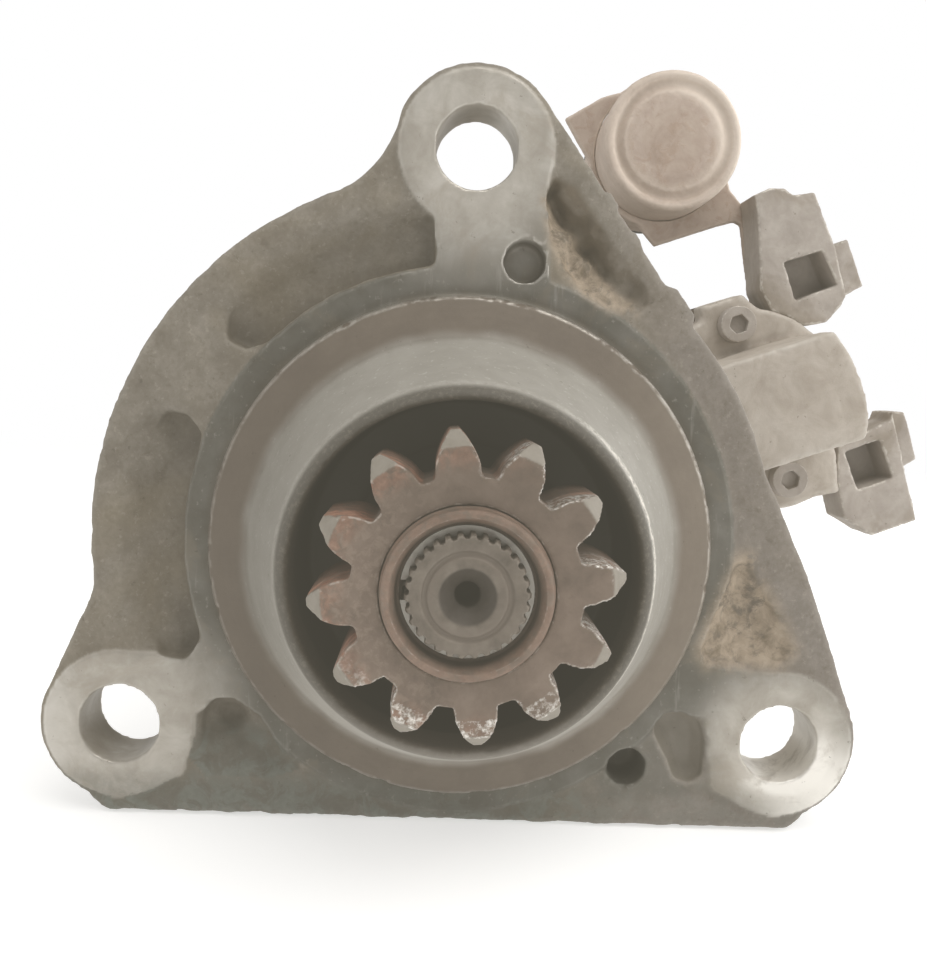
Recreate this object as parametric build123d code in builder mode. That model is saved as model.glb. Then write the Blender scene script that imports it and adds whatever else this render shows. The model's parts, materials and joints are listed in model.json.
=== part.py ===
from build123d import *
import os
from math import acos, cos, pi, radians, sin, tan

os.makedirs("parts", exist_ok=True)

# ---------------------------------------------------------------------------
# Heavy-duty starter motor: planetary reduction, sliding pinion in an open nose,
# three-bolt SAE no. 3 style flange.  Millimetres and degrees, +Z up.
# Origin: pinion axis where it crosses the mounting face.
# +Y runs back along the motor, -Y points into the engine's flywheel housing.
# Names ending in _r are radii, in _y places along Y, in _xz points across the motor.
# Sketch planes that face -Y are extruded by negative amounts, towards the back.
# ---------------------------------------------------------------------------

# mounting flange
mount_circle_r = 73.025
mount_hole_r = 7.5
pilot_r = 46.04             # locating spigot
pilot_length = 6.0
flange_thickness = 13.0
pad_height = 0.8            # machined pads stand this much above the cast rim
foot_z = -53.2              # flat foot of the flange

# nose
nose_front_y = -32.0
nose_rim_r = 29.5
nose_bore_r = 19.6          # holds the seal and the needle bearing
cup_r = 27.8                # open cup round the pinion
cup_floor_y = -8.0

# pinion
pinion_teeth = 12
pinion_module = 3.175       # 8 diametral pitch
pinion_pressure_angle = radians(20)
pinion_shift = 0.5          # profile shift, in modules
pinion_tip_r = 23.8
pinion_root_r = 17.2
pinion_front_y = -43.5
pinion_teeth_back_y = -24.0
pinion_back_y = -15.0
pinion_hub_r = 15.9
pinion_phase = 6.5          # first tooth from +X towards +Z
counterbore_r = 13.0        # at both ends of the pinion's bore

# pinion shaft
shaft_front_y = -46.0
shaft_end_y = 116.0
journal_front_y = -6.0
journal_r = 13.0
collar_r = 21.0
groove_r = 15.0
groove_y = 72.0             # centre of the fork groove at rest
groove_width = 10.0
collar_back_y = groove_y + 9
# splines: teeth, root radius, tip radius, tooth width over pitch at root and at tip, phase
nose_spline = (30, 8.75, 9.5, 0.62, 0.40, 3.0)
drive_spline = (12, 9.7, 11.0, 0.5, 0.42, 0.0)
spline_clearance = 0.05

# planetary train
gear_module = 1.75
sun_teeth, planet_teeth, ring_teeth = 12, 18, 48
gear_pressure_angle = radians(25)
gear_slack = 0.10           # taken off each tooth's width
planet_circle_r = gear_module * (sun_teeth + planet_teeth) / 2
planet_front_y, planet_back_y = 126.0, 141.0
planet_phase = 90.0

# motor
body_r = 52.0
case_front_y, case_back_y = 112.0, 146.0
yoke_front_y, yoke_back_y = 149.0, 270.0
ring_seat_y = 125.4         # step in the gear case where the ring gear's bore begins
through_angles = (80, 200, 320)
through_circle_r = 57.0
boss_r = 6.2                # outside bosses round the through bolts
boss_width = 2 * boss_r
bolt_clearance_r = 3.2

# motor lead, where it leaves the yoke
lead_angle = 48
lead_y = 262.0

# Solenoid, relay and lever share a frame tilted about Y.  In it "out" runs from the
# pinion axis to the solenoid and "across" is square to that, on the upper side.
tilt = radians(20.0)
cos_tilt, sin_tilt = cos(tilt), sin(tilt)
solenoid_out = 80.0
solenoid_r = 25.5
solenoid_front_y, solenoid_back_y = 80.0, 170.0
seat_front_y = 72.0
ear_holes = ((82.7, 21.4), (84.4, -20.8))       # out, across
ear_hole_r = 2.55
pivot_out, pivot_y = 48.0, 62.0
pivot_r = 4.0
pivot = (pivot_out, pivot_y)
# place of the plunger's cross pin, with the lever straight from fork to pin
pin_y = pivot_y - (solenoid_out - pivot_out) * (groove_y - pivot_y) / pivot_out
cross_pin = (solenoid_out, pin_y)
cross_pin_r = 2.5
relay_out, relay_across = 81.0, 70.6


# ---------------------------------------------------------------------------
# Planes and points
# ---------------------------------------------------------------------------
def tilted_xz(out, across):
    """World X and Z of a point given in the tilted frame."""
    return (out * cos_tilt - across * sin_tilt, out * sin_tilt + across * cos_tilt)


def front(y):
    """Plane at depth y facing -Y; local x, y are world X, Z."""
    return Plane.XZ.offset(-y)


def tilted(y, centre_xz=(0, 0)):
    """Plane at depth y facing -Y; local x, y run out and across."""
    x, z = centre_xz
    return Plane(origin=(x, y, z), x_dir=(cos_tilt, 0, sin_tilt), z_dir=(0, -1, 0))


def lever_plane(across, centre_xz=(0, 0)):
    """Plane facing across; local x runs out and local y along +Y."""
    x, z = centre_xz
    return Plane(origin=(x - sin_tilt * across, 0, z + cos_tilt * across),
                 x_dir=(cos_tilt, 0, sin_tilt), z_dir=(-sin_tilt, 0, cos_tilt))


solenoid_xz = tilted_xz(solenoid_out, 0)
solenoid_axis = Axis((solenoid_xz[0], 0, solenoid_xz[1]), (0, 1, 0))
solenoid_section = lever_plane(0, solenoid_xz)
relay_xz = tilted_xz(relay_out, relay_across)
relay_axis = Axis((relay_xz[0], 0, relay_xz[1]), (0, 1, 0))
relay_section = lever_plane(0, relay_xz)


def solenoid_face(y):
    """Tilted plane at depth y centred on the solenoid."""
    return tilted(y, solenoid_xz)


def relay_face(y):
    """Tilted plane at depth y centred on the relay."""
    return tilted(y, relay_xz)


def radial_plane(radius, angle, y):
    """Plane facing away from the motor axis."""
    x, z = polar_deg(1, angle)
    return Plane(origin=(radius * x, y, radius * z), z_dir=(x, 0, z))


def brush_face(radius, angle, y):
    """Plane facing away from the motor axis; local x runs along +Y."""
    x, z = polar_deg(1, angle)
    return Plane(origin=(radius * x, y, radius * z), x_dir=(0, 1, 0), z_dir=(x, 0, z))


def polar(radius, angle):
    """Point at an angle in radians."""
    return (radius * cos(angle), radius * sin(angle))


def polar_deg(radius, angle):
    """Point at an angle in degrees."""
    return polar(radius, radians(angle))


def arc_points(radius, angles, centre=0):
    """Points on a circle at angles in degrees from a centre angle."""
    return [polar_deg(radius, centre + angle) for angle in angles]


def radial_location(radius, angle):
    """Sketch location at an angle, with local x turned outwards."""
    x, y = polar_deg(radius, angle)
    return Location((x, y, 0), (0, 0, angle))


through_holes = arc_points(through_circle_r, through_angles)


# ---------------------------------------------------------------------------
# Gear and spline outlines
# ---------------------------------------------------------------------------
def gear_points(module, teeth, pressure_angle, tip_r, root_r, tooth_width, phase, steps=4):
    """Corners of an involute outline; tooth_width is measured on the pitch circle."""
    pitch_r = module * teeth / 2
    base_r = pitch_r * cos(pressure_angle)
    base_half = tooth_width / (2 * pitch_r) + tan(pressure_angle) - pressure_angle

    def half_angle(radius):
        roll = acos(min(1.0, base_r / radius))
        return base_half - (tan(roll) - roll)

    flank_r = max(base_r, root_r)
    radii = [flank_r + (tip_r - flank_r) * i / steps for i in range(steps + 1)]
    undercut = root_r < flank_r - 0.01
    root_half = half_angle(flank_r) + 0.02
    points = []
    for k in range(teeth):
        middle = radians(phase) + 2 * pi * k / teeth
        if undercut:
            points.append(polar(root_r, middle - root_half))
        points += [polar(radius, middle - half_angle(radius)) for radius in radii]
        points += [polar(radius, middle + half_angle(radius)) for radius in reversed(radii)]
        if undercut:
            points.append(polar(root_r, middle + root_half))
    return points


def external_gear(teeth, phase):
    """Outline of a sun or planet gear."""
    pitch_r = gear_module * teeth / 2
    return gear_points(gear_module, teeth, gear_pressure_angle, pitch_r + gear_module,
                       pitch_r - 1.25 * gear_module, gear_module * pi / 2 - gear_slack, phase)


def spline_points(spline, grow=0.0):
    """Corners of a straight-sided spline, grown all round by a clearance."""
    teeth, root_r, tip_r, root_share, tip_share, phase = spline
    pitch = 2 * pi / teeth
    root_r, tip_r = root_r + grow, tip_r + grow
    root_half = root_share * pitch / 2 + grow / root_r
    tip_half = tip_share * pitch / 2 + grow / tip_r
    points = []
    for k in range(teeth):
        middle = radians(phase) + k * pitch
        points += [polar(root_r, middle - root_half), polar(tip_r, middle - tip_half),
                   polar(tip_r, middle + tip_half), polar(root_r, middle + root_half)]
    return points


# ---------------------------------------------------------------------------
# Whole pieces of a repeated kind, and saving
# ---------------------------------------------------------------------------
def save(piece, name):
    """Label a finished piece and write its STEP file."""
    solid = piece.part
    solid.label = name
    export_step(solid, "parts/" + name + ".step")


def turned(name, profile, plane=Plane.XY, axis=Axis.Y):
    """Piece turned from one closed profile of (radius, Y) points."""
    with BuildPart() as piece:
        with BuildSketch(plane):
            with BuildLine():
                Polyline(*profile, close=True)
            make_face()
        revolve(axis=axis)
    save(piece, name)


def rods(name, plane, places, radius, length):
    """Round rods standing on a plane."""
    with BuildPart() as piece:
        with BuildSketch(plane):
            with Locations(*places):
                Circle(radius)
        extrude(amount=length)
    save(piece, name)


def spring(name, centre_xz, front_y, coil_r, wire_r, pitch, height):
    """Coil spring running back along +Y."""
    x, z = centre_xz
    with BuildPart() as piece:
        with BuildLine():
            Helix(pitch=pitch, height=height, radius=coil_r, center=(x, front_y, z),
                  direction=(0, 1, 0))
        with BuildSketch(Plane(origin=(x + coil_r, front_y, z), x_dir=(1, 0, 0),
                               z_dir=(0, 0, 1))):
            Circle(wire_r)
        sweep(is_frenet=True)
    save(piece, name)


# ---------------------------------------------------------------------------
# Drive housing: flange, pilot, nose, lever chamber and solenoid seat in one casting
# ---------------------------------------------------------------------------
mount_holes = arc_points(mount_circle_r, (90, 210, 330))

# machined pads joining the ring to the mounting holes: X, Z
pad_outlines = [
    [(-13.2, 68.5), (-7.2, 60.0), (-6.7, 50.0), (14.2, 48.0), (13.8, 60.0), (13.4, 68.5)],
    [(-66.0, -23.2), (-57.0, -22.8), (-47.0, -20.0), (-38.0, -30.6), (-49.0, -33.8),
     (-51.2, -46.0), (-60.0, -50.0)],
    [(66.0, -23.0), (57.0, -22.6), (47.0, -21.6), (40.0, -31.0), (48.6, -31.6),
     (50.6, -46.0), (60.0, -50.0)],
]
# nose cone, pilot and gear-side barrel: radius, Y
housing_profile = [
    (nose_bore_r, cup_floor_y), (cup_r, cup_floor_y), (cup_r, nose_front_y + 0.6),
    (cup_r + 0.5, nose_front_y), (nose_rim_r - 0.4, nose_front_y),
    (nose_rim_r, nose_front_y + 0.5), (33.9, -20.0), (38.5, -8.4), (45.4, -pilot_length),
    (pilot_r, -pilot_length + 0.7), (pilot_r, 0.0), (50.0, 0.0), (50.0, flange_thickness),
    (46.0, 15.0), (42.5, 22.0), (42.5, 98.0), (body_r, 106.0), (body_r, case_front_y),
    (36.5, case_front_y), (36.5, 78.0), (34.0, 74.0), (34.0, 38.0), (nose_bore_r, 38.0),
]
# inside of cup, nose bore and barrel: radius, Y
cavity_profile = [
    (0, -40), (cup_r, -40), (cup_r, cup_floor_y), (nose_bore_r, cup_floor_y),
    (nose_bore_r, 30.0), (24.5, 30.0), (24.5, 19.0), (38.5, 19.0), (38.5, 78.0),
    (38.5, 100.0), (36.5, 104.0), (36.5, 118), (0, 118),
]
# lever chamber, outside and inside, at the barrel and at the solenoid: out, across
chamber_outline = [(0, -40.0), (18, -38.0), (38, -27.0), (54, -17.0), (54, 17.6),
                   (38, 27.0), (18, 38.0), (0, 40.0)]
chamber_end_outline = [(50, -12.2), (96.6, -12.2), (98.6, -8.0), (99.4, -2.5), (99.2, 1.2),
                       (98.3, 7.0), (96.2, 14.2), (50, 14.2)]
chamber_cavity = [(0, -31.0), (22, -30.5), (38, -22.0), (54, -9.6), (54, 10.0),
                  (38, 22.0), (22, 30.5), (0, 31.0)]
chamber_end_cavity = [(48, -9.2), (94.0, -9.2), (95.8, -2.0), (93.6, 10.6), (48, 10.6)]
# two screw ears and the web back to the barrel: out, across
seat_outlines = [
    [(74.6, 8.0), (75.2, 28.6), (86.8, 28.4), (90.2, 23.0), (89.4, 15.0), (88.0, 8.0)],
    [(74.0, -8.0), (77.0, -27.6), (84.0, -28.6), (91.0, -28.0), (97.3, -28.8),
     (97.8, -25.6), (98.8, -21.8), (99.4, -17.0), (96.0, -8.0)],
    [(30, -30.0), (60, -19.0), (60, 19.0), (30, 30.0)],
]
# cored pockets in the flange face: X, Z
pocket_outlines = [
    [*arc_points(61.2, range(97, 134, 6)), polar_deg(60.6, 137.5), polar_deg(57.6, 140.6),
     polar_deg(54.0, 139.5), *arc_points(52.2, (*range(136, 99, -6), 97.4))],
    [polar_deg(60.2, 157.6), *arc_points(61.2, range(161, 198, 6)), polar_deg(60.4, 202.4),
     polar_deg(56.4, 205), polar_deg(52.6, 202.6), *arc_points(51.9, range(198, 161, -6)),
     polar_deg(52.6, 158.6), polar_deg(56.4, 156.6)],
    [(-47.5, -33.6), (-45.4, -31.2), (-42.0, -30.8), (-37.0, -34.0), (-30.8, -43.4),
     (-34.0, -44.4), (-46.4, -44.4), (-48.2, -42.6)],
    [(38.9, -33.4), (40.8, -31.4), (43.6, -30.7), (47.6, -32.5), (48.8, -36.1),
     (48.9, -43.6), (46.4, -44.9), (43.5, -44.2), (41.9, -40.3), (39.2, -35.6)],
    [(12.9, 64.6), (14.6, 57.6), (17.4, 52.0), (21.4, 48.0), (25.7, 45.9), (31.3, 45.2),
     (33.6, 46.6), (32.6, 49.4), (28.0, 54.4), (23.1, 60.3), (18.4, 66.8), (14.4, 68.4)],
    [(52.6, -2.7), (49.4, -11.0), (46.9, -18.6), (48.2, -20.8), (62.4, -20.7),
     (64.8, -18.2), (61.4, -11.6), (57.3, -5.2), (54.8, -0.6), (53.4, -0.8)],
]

with BuildPart() as drive_housing:
    # cast flange plate, set back by the height of the machined pads
    with BuildSketch(front(pad_height)):
        with BuildLine():
            ThreePointArc((-24.2, 64.9), (-17.6, 70.9), (-13.9, 79.65))
            ThreePointArc((-13.9, 79.65), (0, 88.42), (12.38, 82.19))
            Line((12.38, 82.19), (41.4, 43.2))
            ThreePointArc((41.4, 43.2), (52.0, 28.7), (57.2, 16.4))
            Line((57.2, 16.4), (66.6, -2.7))
            Line((66.6, -2.7), (77.9, -31.6))
            ThreePointArc((77.9, -31.6), (78.3, -39.4), (70.5, -50.1))
            Line((70.5, -50.1), (66.5, foot_z))
            Line((66.5, foot_z), (-66.0, foot_z))
            Line((-66.0, foot_z), (-71.2, -49.7))
            ThreePointArc((-71.2, -49.7), (-78.4, -39.0), (-78.0, -32.4))
            Line((-78.0, -32.4), (-71.6, -17.6))
            ThreePointArc((-71.6, -17.6), (-69.5, -13.0), (-68.7, -8.9))
            ThreePointArc((-68.7, -8.9), (-59.4, 35.7), (-24.2, 64.9))
        make_face()
    extrude(amount=-(flange_thickness - pad_height))
    # machined pads: a ring round the pilot and one round each mounting hole
    with BuildSketch(front(0)):
        Circle(51.6)
        with Locations(*mount_holes):
            Circle(14.0)
        for outline in pad_outlines:
            with BuildLine():
                Polyline(*outline, close=True)
            make_face()
    extrude(amount=-2.0)
    # everything round the axis
    with BuildSketch(Plane.XY):
        with BuildLine():
            Polyline(*housing_profile, close=True)
        make_face()
    revolve(axis=Axis.Y)
    # lever chamber from the barrel out to the solenoid
    with BuildSketch(tilted(36)):
        with BuildLine():
            Polyline(*chamber_outline, close=True)
        make_face()
    extrude(amount=-46)
    with BuildSketch(tilted(44)):
        with BuildLine():
            Polyline(*chamber_end_outline, close=True)
        make_face()
    extrude(amount=-36)
    # solenoid seat
    with BuildSketch(tilted(seat_front_y)):
        with Locations((solenoid_out, 0)):
            Circle(solenoid_r)
        for outline in seat_outlines:
            with BuildLine():
                Polyline(*outline, close=True)
            make_face()
    extrude(amount=-(solenoid_front_y - seat_front_y))
    # outside bosses for the three through bolts
    for angle in through_angles:
        with BuildSketch(front(100)):
            with Locations(polar_deg(through_circle_r, angle)):
                Circle(boss_r)
            with Locations(radial_location(50.0, angle)):
                Rectangle(14.0, boss_width)
        extrude(amount=-(case_front_y - 100))
    # hollow barrel and chamber
    with BuildSketch(Plane.XY):
        with BuildLine():
            Polyline(*cavity_profile, close=True)
        make_face()
    revolve(axis=Axis.Y, mode=Mode.SUBTRACT)
    with BuildSketch(tilted(41)):
        with BuildLine():
            Polyline(*chamber_cavity, close=True)
        make_face()
    extrude(amount=-36.5, mode=Mode.SUBTRACT)
    with BuildSketch(tilted(47.5)):
        with BuildLine():
            Polyline(*chamber_end_cavity, close=True)
        make_face()
    extrude(amount=-30.0, mode=Mode.SUBTRACT)
    # plunger opening in the seat
    with BuildSketch(solenoid_face(70)):
        Circle(13.2)
    extrude(amount=-12, mode=Mode.SUBTRACT)
    # lever pivot bore, through both chamber walls
    with BuildSketch(lever_plane(-32)):
        with Locations(pivot):
            Circle(pivot_r)
    extrude(amount=64, mode=Mode.SUBTRACT)
    # solenoid screw holes and through-bolt holes
    with BuildSketch(tilted(seat_front_y - 1)):
        with Locations(*ear_holes):
            Circle(ear_hole_r)
    extrude(amount=-10, mode=Mode.SUBTRACT)
    with BuildSketch(front(101)):
        with Locations(*through_holes):
            Circle(3.0)
    extrude(amount=-14, mode=Mode.SUBTRACT)
    # mounting holes
    with BuildSketch(front(-1)):
        with Locations(*mount_holes):
            Circle(mount_hole_r)
    extrude(amount=-(flange_thickness + 2), mode=Mode.SUBTRACT)
    # cored pockets
    with BuildSketch(front(-0.5)):
        for outline in pocket_outlines:
            with BuildLine():
                Polyline(*outline, close=True)
            make_face()
    extrude(amount=-8.3, mode=Mode.SUBTRACT)
    # two blind holes in the flange face
    with BuildSketch(front(-0.5)):
        with Locations((9.65, 53.0)):
            Circle(3.85)
        with Locations((34.0, -42.2)):
            Circle(3.7)
    extrude(amount=-11.0, mode=Mode.SUBTRACT)
save(drive_housing, "drive_housing")

# ---------------------------------------------------------------------------
# Nose: shaft seal and needle bearing.  Profiles are radius, Y
# ---------------------------------------------------------------------------
seal_lip_r = journal_r + 0.03
turned("nose_seal", [
    (seal_lip_r, -4.0), (seal_lip_r, -2.6), (15.0, -1.0), (17.6, -1.0), (17.6, 1.0),
    (nose_bore_r, 1.0), (nose_bore_r, -7.6), (15.6, -7.6), (13.6, -6.2), (13.6, -5.0)])

bearing_shell_profile = [
    (16.1, 4.0), (nose_bore_r, 4.0), (nose_bore_r, 29.0), (16.1, 29.0), (16.1, 27.8),
    (18.12, 27.8), (18.12, 5.2), (16.1, 5.2),
]
with BuildPart() as nose_bearing:
    with BuildSketch(Plane.XY):
        with BuildLine():
            Polyline(*bearing_shell_profile, close=True)
        make_face()
    revolve(axis=Axis.Y)
    # rollers
    with BuildSketch(front(5.6)):
        with PolarLocations(15.56, 14):
            Circle(2.5)
    extrude(amount=-21.8)
save(nose_bearing, "nose_bearing")

# ---------------------------------------------------------------------------
# Pinion, its shaft, stop ring and cushion spring
# ---------------------------------------------------------------------------
pinion_tooth_width = 0.42 + pinion_module * (
    pi / 2 + 2 * pinion_shift * tan(pinion_pressure_angle))
pinion_outline = gear_points(pinion_module, pinion_teeth, pinion_pressure_angle, pinion_tip_r,
                             pinion_root_r, pinion_tooth_width, pinion_phase, steps=6)
# waste cut from the front of the teeth: radius, Y
lead_in_profile = [
    (21.4, pinion_front_y - 0.01), (pinion_tip_r + 3, pinion_front_y - 0.01),
    (pinion_tip_r + 3, pinion_front_y + 3.2), (pinion_tip_r, pinion_front_y + 3.2),
]

with BuildPart() as pinion_gear:
    with BuildSketch(front(pinion_front_y)):
        Polygon(*pinion_outline, align=None)
    extrude(amount=-(pinion_teeth_back_y - pinion_front_y))
    # hub behind the teeth
    with BuildSketch(front(pinion_teeth_back_y - 1)):
        Circle(pinion_hub_r)
    extrude(amount=-(pinion_back_y - pinion_teeth_back_y + 1))
    # lead-in chamfer
    with BuildSketch(Plane.XY):
        with BuildLine():
            Polyline(*lead_in_profile, close=True)
        make_face()
    revolve(axis=Axis.Y, mode=Mode.SUBTRACT)
    # bore: splined, counterbored for the stop ring in front and the spring behind
    with BuildSketch(front(pinion_front_y - 1)):
        Polygon(*spline_points(nose_spline, spline_clearance), align=None)
    extrude(amount=-(pinion_back_y - pinion_front_y + 2), mode=Mode.SUBTRACT)
    with BuildSketch(front(pinion_front_y - 1)):
        Circle(counterbore_r)
    extrude(amount=-4.5, mode=Mode.SUBTRACT)
    with BuildSketch(front(pinion_back_y - 6)):
        Circle(counterbore_r)
    extrude(amount=-8, mode=Mode.SUBTRACT)
save(pinion_gear, "pinion_gear")

# journal and grooved collar: radius, Y
shaft_profile = [
    (0, journal_front_y), (journal_r - 0.6, journal_front_y),
    (journal_r, journal_front_y + 0.6), (journal_r, groove_y - 10),
    (collar_r - 0.6, groove_y - 10), (collar_r, groove_y - 9.4),
    (collar_r, groove_y - groove_width / 2), (groove_r, groove_y - groove_width / 2),
    (groove_r, groove_y + groove_width / 2), (collar_r, groove_y + groove_width / 2),
    (collar_r, collar_back_y - 0.4), (collar_r - 0.4, collar_back_y),
    (13.0, collar_back_y), (0, collar_back_y),
]
# waste turned off the front end: ring groove, centre drilling, edge chamfer: radius, Y
shaft_end_cuts = [
    [(6.1, shaft_front_y - 1), (6.1, shaft_front_y + 0.5), (6.9, shaft_front_y + 0.5),
     (6.9, shaft_front_y - 1)],
    [(0, shaft_front_y - 1), (5.2, shaft_front_y - 1), (4.4, shaft_front_y),
     (1.9, shaft_front_y + 2.6), (1.9, shaft_front_y + 9), (0, shaft_front_y + 10.2)],
    [(8.7, shaft_front_y - 1), (12, shaft_front_y - 1), (12, shaft_front_y + 0.9),
     (9.55, shaft_front_y + 0.9)],
]

with BuildPart() as pinion_shaft:
    with BuildSketch(Plane.XY):
        with BuildLine():
            Polyline(*shaft_profile, close=True)
        make_face()
    revolve(axis=Axis.Y)
    with BuildSketch(front(shaft_front_y)):
        Polygon(*spline_points(nose_spline), align=None)
    extrude(amount=-44.0)
    with BuildSketch(front(collar_back_y - 1)):
        Polygon(*spline_points(drive_spline), align=None)
    extrude(amount=-(shaft_end_y - collar_back_y + 1))
    with BuildSketch(Plane.XY):
        for profile in shaft_end_cuts:
            with BuildLine():
                Polyline(*profile, close=True)
            make_face()
    revolve(axis=Axis.Y, mode=Mode.SUBTRACT)
    # groove for the snap ring
    with BuildSketch(front(-42.2)):
        Circle(12)
        Circle(8.4, mode=Mode.SUBTRACT)
    extrude(amount=-1.4, mode=Mode.SUBTRACT)
save(pinion_shaft, "pinion_shaft")

with BuildPart() as snap_ring:
    with BuildSketch(front(-42.1)):
        Circle(9.9)
        Circle(8.45, mode=Mode.SUBTRACT)
        # gap in the ring
        with Locations((-9.2, 0)):
            Rectangle(3.0, 3.0, mode=Mode.SUBTRACT)
    extrude(amount=-1.2)
save(snap_ring, "snap_ring")

turned("stop_ring", [
    (9.56, -40.2), (12.9, -40.2), (12.9, -45.5), (12.4, -46.0), (11.7, -46.0), (10.5, -43.4),
    (10.5, -42.15), (9.95, -42.15), (9.95, -40.85), (9.56, -40.85)])

spring("pinion_spring", (0, 0), front_y=-18.95, coil_r=11.4, wire_r=0.95, pitch=3.0,
       height=12.0)

# ---------------------------------------------------------------------------
# Roller clutch
# ---------------------------------------------------------------------------
roller_count = 8
clutch_r = 33.0
clutch_inner_r = 17.0
clutch_inner_profile = [            # radius, Y
    (0, 83.5), (18.6, 83.5), (18.6, 85.2), (clutch_inner_r, 85.2), (clutch_inner_r, 109.0),
    (0, 109.0),
]
# ramped roller pocket: radius, radians on from the pocket's start
roller_pocket = [(22.0, 0), (23.6, 0.02), (24.7, 0.16), (24.7, 0.34), (22.0, 0.34)]

with BuildPart() as clutch_inner:
    with BuildSketch(Plane.XY):
        with BuildLine():
            Polyline(*clutch_inner_profile, close=True)
        make_face()
    revolve(axis=Axis.Y)
    with BuildSketch(front(82)):
        Polygon(*spline_points(drive_spline, spline_clearance), align=None)
    extrude(amount=-30, mode=Mode.SUBTRACT)
save(clutch_inner, "clutch_inner")

with BuildPart() as clutch_rollers:
    with BuildSketch(front(86.5)):
        with PolarLocations(20.06, roller_count):
            Circle(3.0)
    extrude(amount=-17.5)
save(clutch_rollers, "clutch_rollers")

with BuildPart() as clutch_outer:
    with BuildSketch(front(85.6)):
        Circle(clutch_r)
        Circle(23.14, mode=Mode.SUBTRACT)
        for k in range(roller_count):
            start = 2 * pi * k / roller_count
            with BuildLine():
                Polyline(*[polar(radius, start + on) for radius, on in roller_pocket],
                         close=True)
            make_face(mode=Mode.SUBTRACT)
    extrude(amount=-19.4)
    # rear wall
    with BuildSketch(front(105)):
        Circle(clutch_r)
        Circle(clutch_inner_r + 0.1, mode=Mode.SUBTRACT)
    extrude(amount=-5)
save(clutch_outer, "clutch_outer")

# ---------------------------------------------------------------------------
# Planetary train
# ---------------------------------------------------------------------------
planet_angles = [planet_phase + 120 * k for k in range(3)]
planet_centres = arc_points(planet_circle_r, planet_angles)
planet_pin_r = 5.0
planet_pin_front_y = 112.2
carrier_profile = [                 # radius, Y
    (12.2, 110.0), (clutch_r, 110.0), (clutch_r, 113.0), (35.6, 114.5), (35.6, 124.6),
    (14.0, 124.6), (10.0, 124.6), (5.05, 124.6), (5.05, 118.6), (12.2, 118.6),
]

with BuildPart() as planet_carrier:
    with BuildSketch(Plane.XY):
        with BuildLine():
            Polyline(*carrier_profile, close=True)
        make_face()
    revolve(axis=Axis.Y)
    with BuildSketch(front(112)):
        with Locations(*planet_centres):
            Circle(planet_pin_r)
    extrude(amount=-14, mode=Mode.SUBTRACT)
save(planet_carrier, "planet_carrier")

rods("planet_pins", front(planet_pin_front_y), planet_centres, planet_pin_r,
     length=-(143.0 - planet_pin_front_y))

for number, (angle, centre) in enumerate(zip(planet_angles, planet_centres), start=1):
    with BuildPart() as planet_gear:
        with BuildSketch(front(planet_front_y)):
            with Locations(centre):
                Polygon(*external_gear(planet_teeth, angle + 180 / planet_teeth), align=None)
        extrude(amount=-(planet_back_y - planet_front_y))
        with BuildSketch(front(planet_front_y - 1)):
            with Locations(centre):
                Circle(planet_pin_r + 0.05)
        extrude(amount=-20, mode=Mode.SUBTRACT)
    save(planet_gear, f"planet_gear_{number}")

ring_r = 48.0
ring_pitch_r = gear_module * ring_teeth / 2
ring_bore = gear_points(gear_module, ring_teeth, gear_pressure_angle,
                        ring_pitch_r + 1.25 * gear_module, ring_pitch_r - gear_module,
                        gear_module * pi / 2 + gear_slack, planet_phase + 180 / ring_teeth)
with BuildPart() as ring_gear:
    with BuildSketch(front(ring_seat_y + 0.1)):
        Circle(ring_r)
        Polygon(*ring_bore, align=None, mode=Mode.SUBTRACT)
    extrude(amount=-17)
save(ring_gear, "ring_gear")

# gear case shell, and the inner step in front of the ring gear: radius, Y
case_profile = [(44.0, case_front_y), (body_r, case_front_y), (body_r, case_back_y),
                (ring_r, case_back_y), (ring_r, 125.5), (44.0, 125.5)]
case_step_profile = [(43.5, case_front_y), (47.6, case_front_y), (47.6, ring_seat_y),
                     (43.5, ring_seat_y)]
with BuildPart() as gear_case:
    with BuildSketch(Plane.XY):
        with BuildLine():
            Polyline(*case_profile, close=True)
        make_face()
    revolve(axis=Axis.Y)
    # through-bolt bosses
    for angle in through_angles:
        with BuildSketch(front(case_front_y)):
            with Locations(polar_deg(through_circle_r, angle)):
                Circle(boss_r)
            with Locations(radial_location(53.2, angle)):
                Rectangle(7.6, boss_width)
        extrude(amount=-(case_back_y - case_front_y))
    # bore and bolt holes
    with BuildSketch(front(case_front_y - 1)):
        Circle(47.5)
        with Locations(*through_holes):
            Circle(bolt_clearance_r)
    extrude(amount=-(case_back_y - case_front_y + 2), mode=Mode.SUBTRACT)
    with BuildSketch(Plane.XY):
        with BuildLine():
            Polyline(*case_step_profile, close=True)
        make_face()
    revolve(axis=Axis.Y)
    # ring gear's bore
    with BuildSketch(front(ring_seat_y)):
        Circle(ring_r)
    extrude(amount=-30, mode=Mode.SUBTRACT)
save(gear_case, "gear_case")

with BuildPart() as gear_plate:
    with BuildSketch(front(case_back_y)):
        Circle(body_r)
        Circle(9.6, mode=Mode.SUBTRACT)
    extrude(amount=-(yoke_front_y - case_back_y))
    # rim standing forward into the gear case
    with BuildSketch(front(142.6)):
        Circle(ring_r - 0.1)
        Circle(44.0, mode=Mode.SUBTRACT)
    extrude(amount=-4.0)
save(gear_plate, "gear_plate")

# ---------------------------------------------------------------------------
# Yoke, poles and field coils
# ---------------------------------------------------------------------------
yoke_bore_r = 46.0
pole_angles = (20, 110, 200, 290)
pole_screw_ys = (182.0, 222.0)
pole_screw_places = [(angle, y) for angle in pole_angles for y in pole_screw_ys]
lead_hole_r = 6.0

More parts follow.
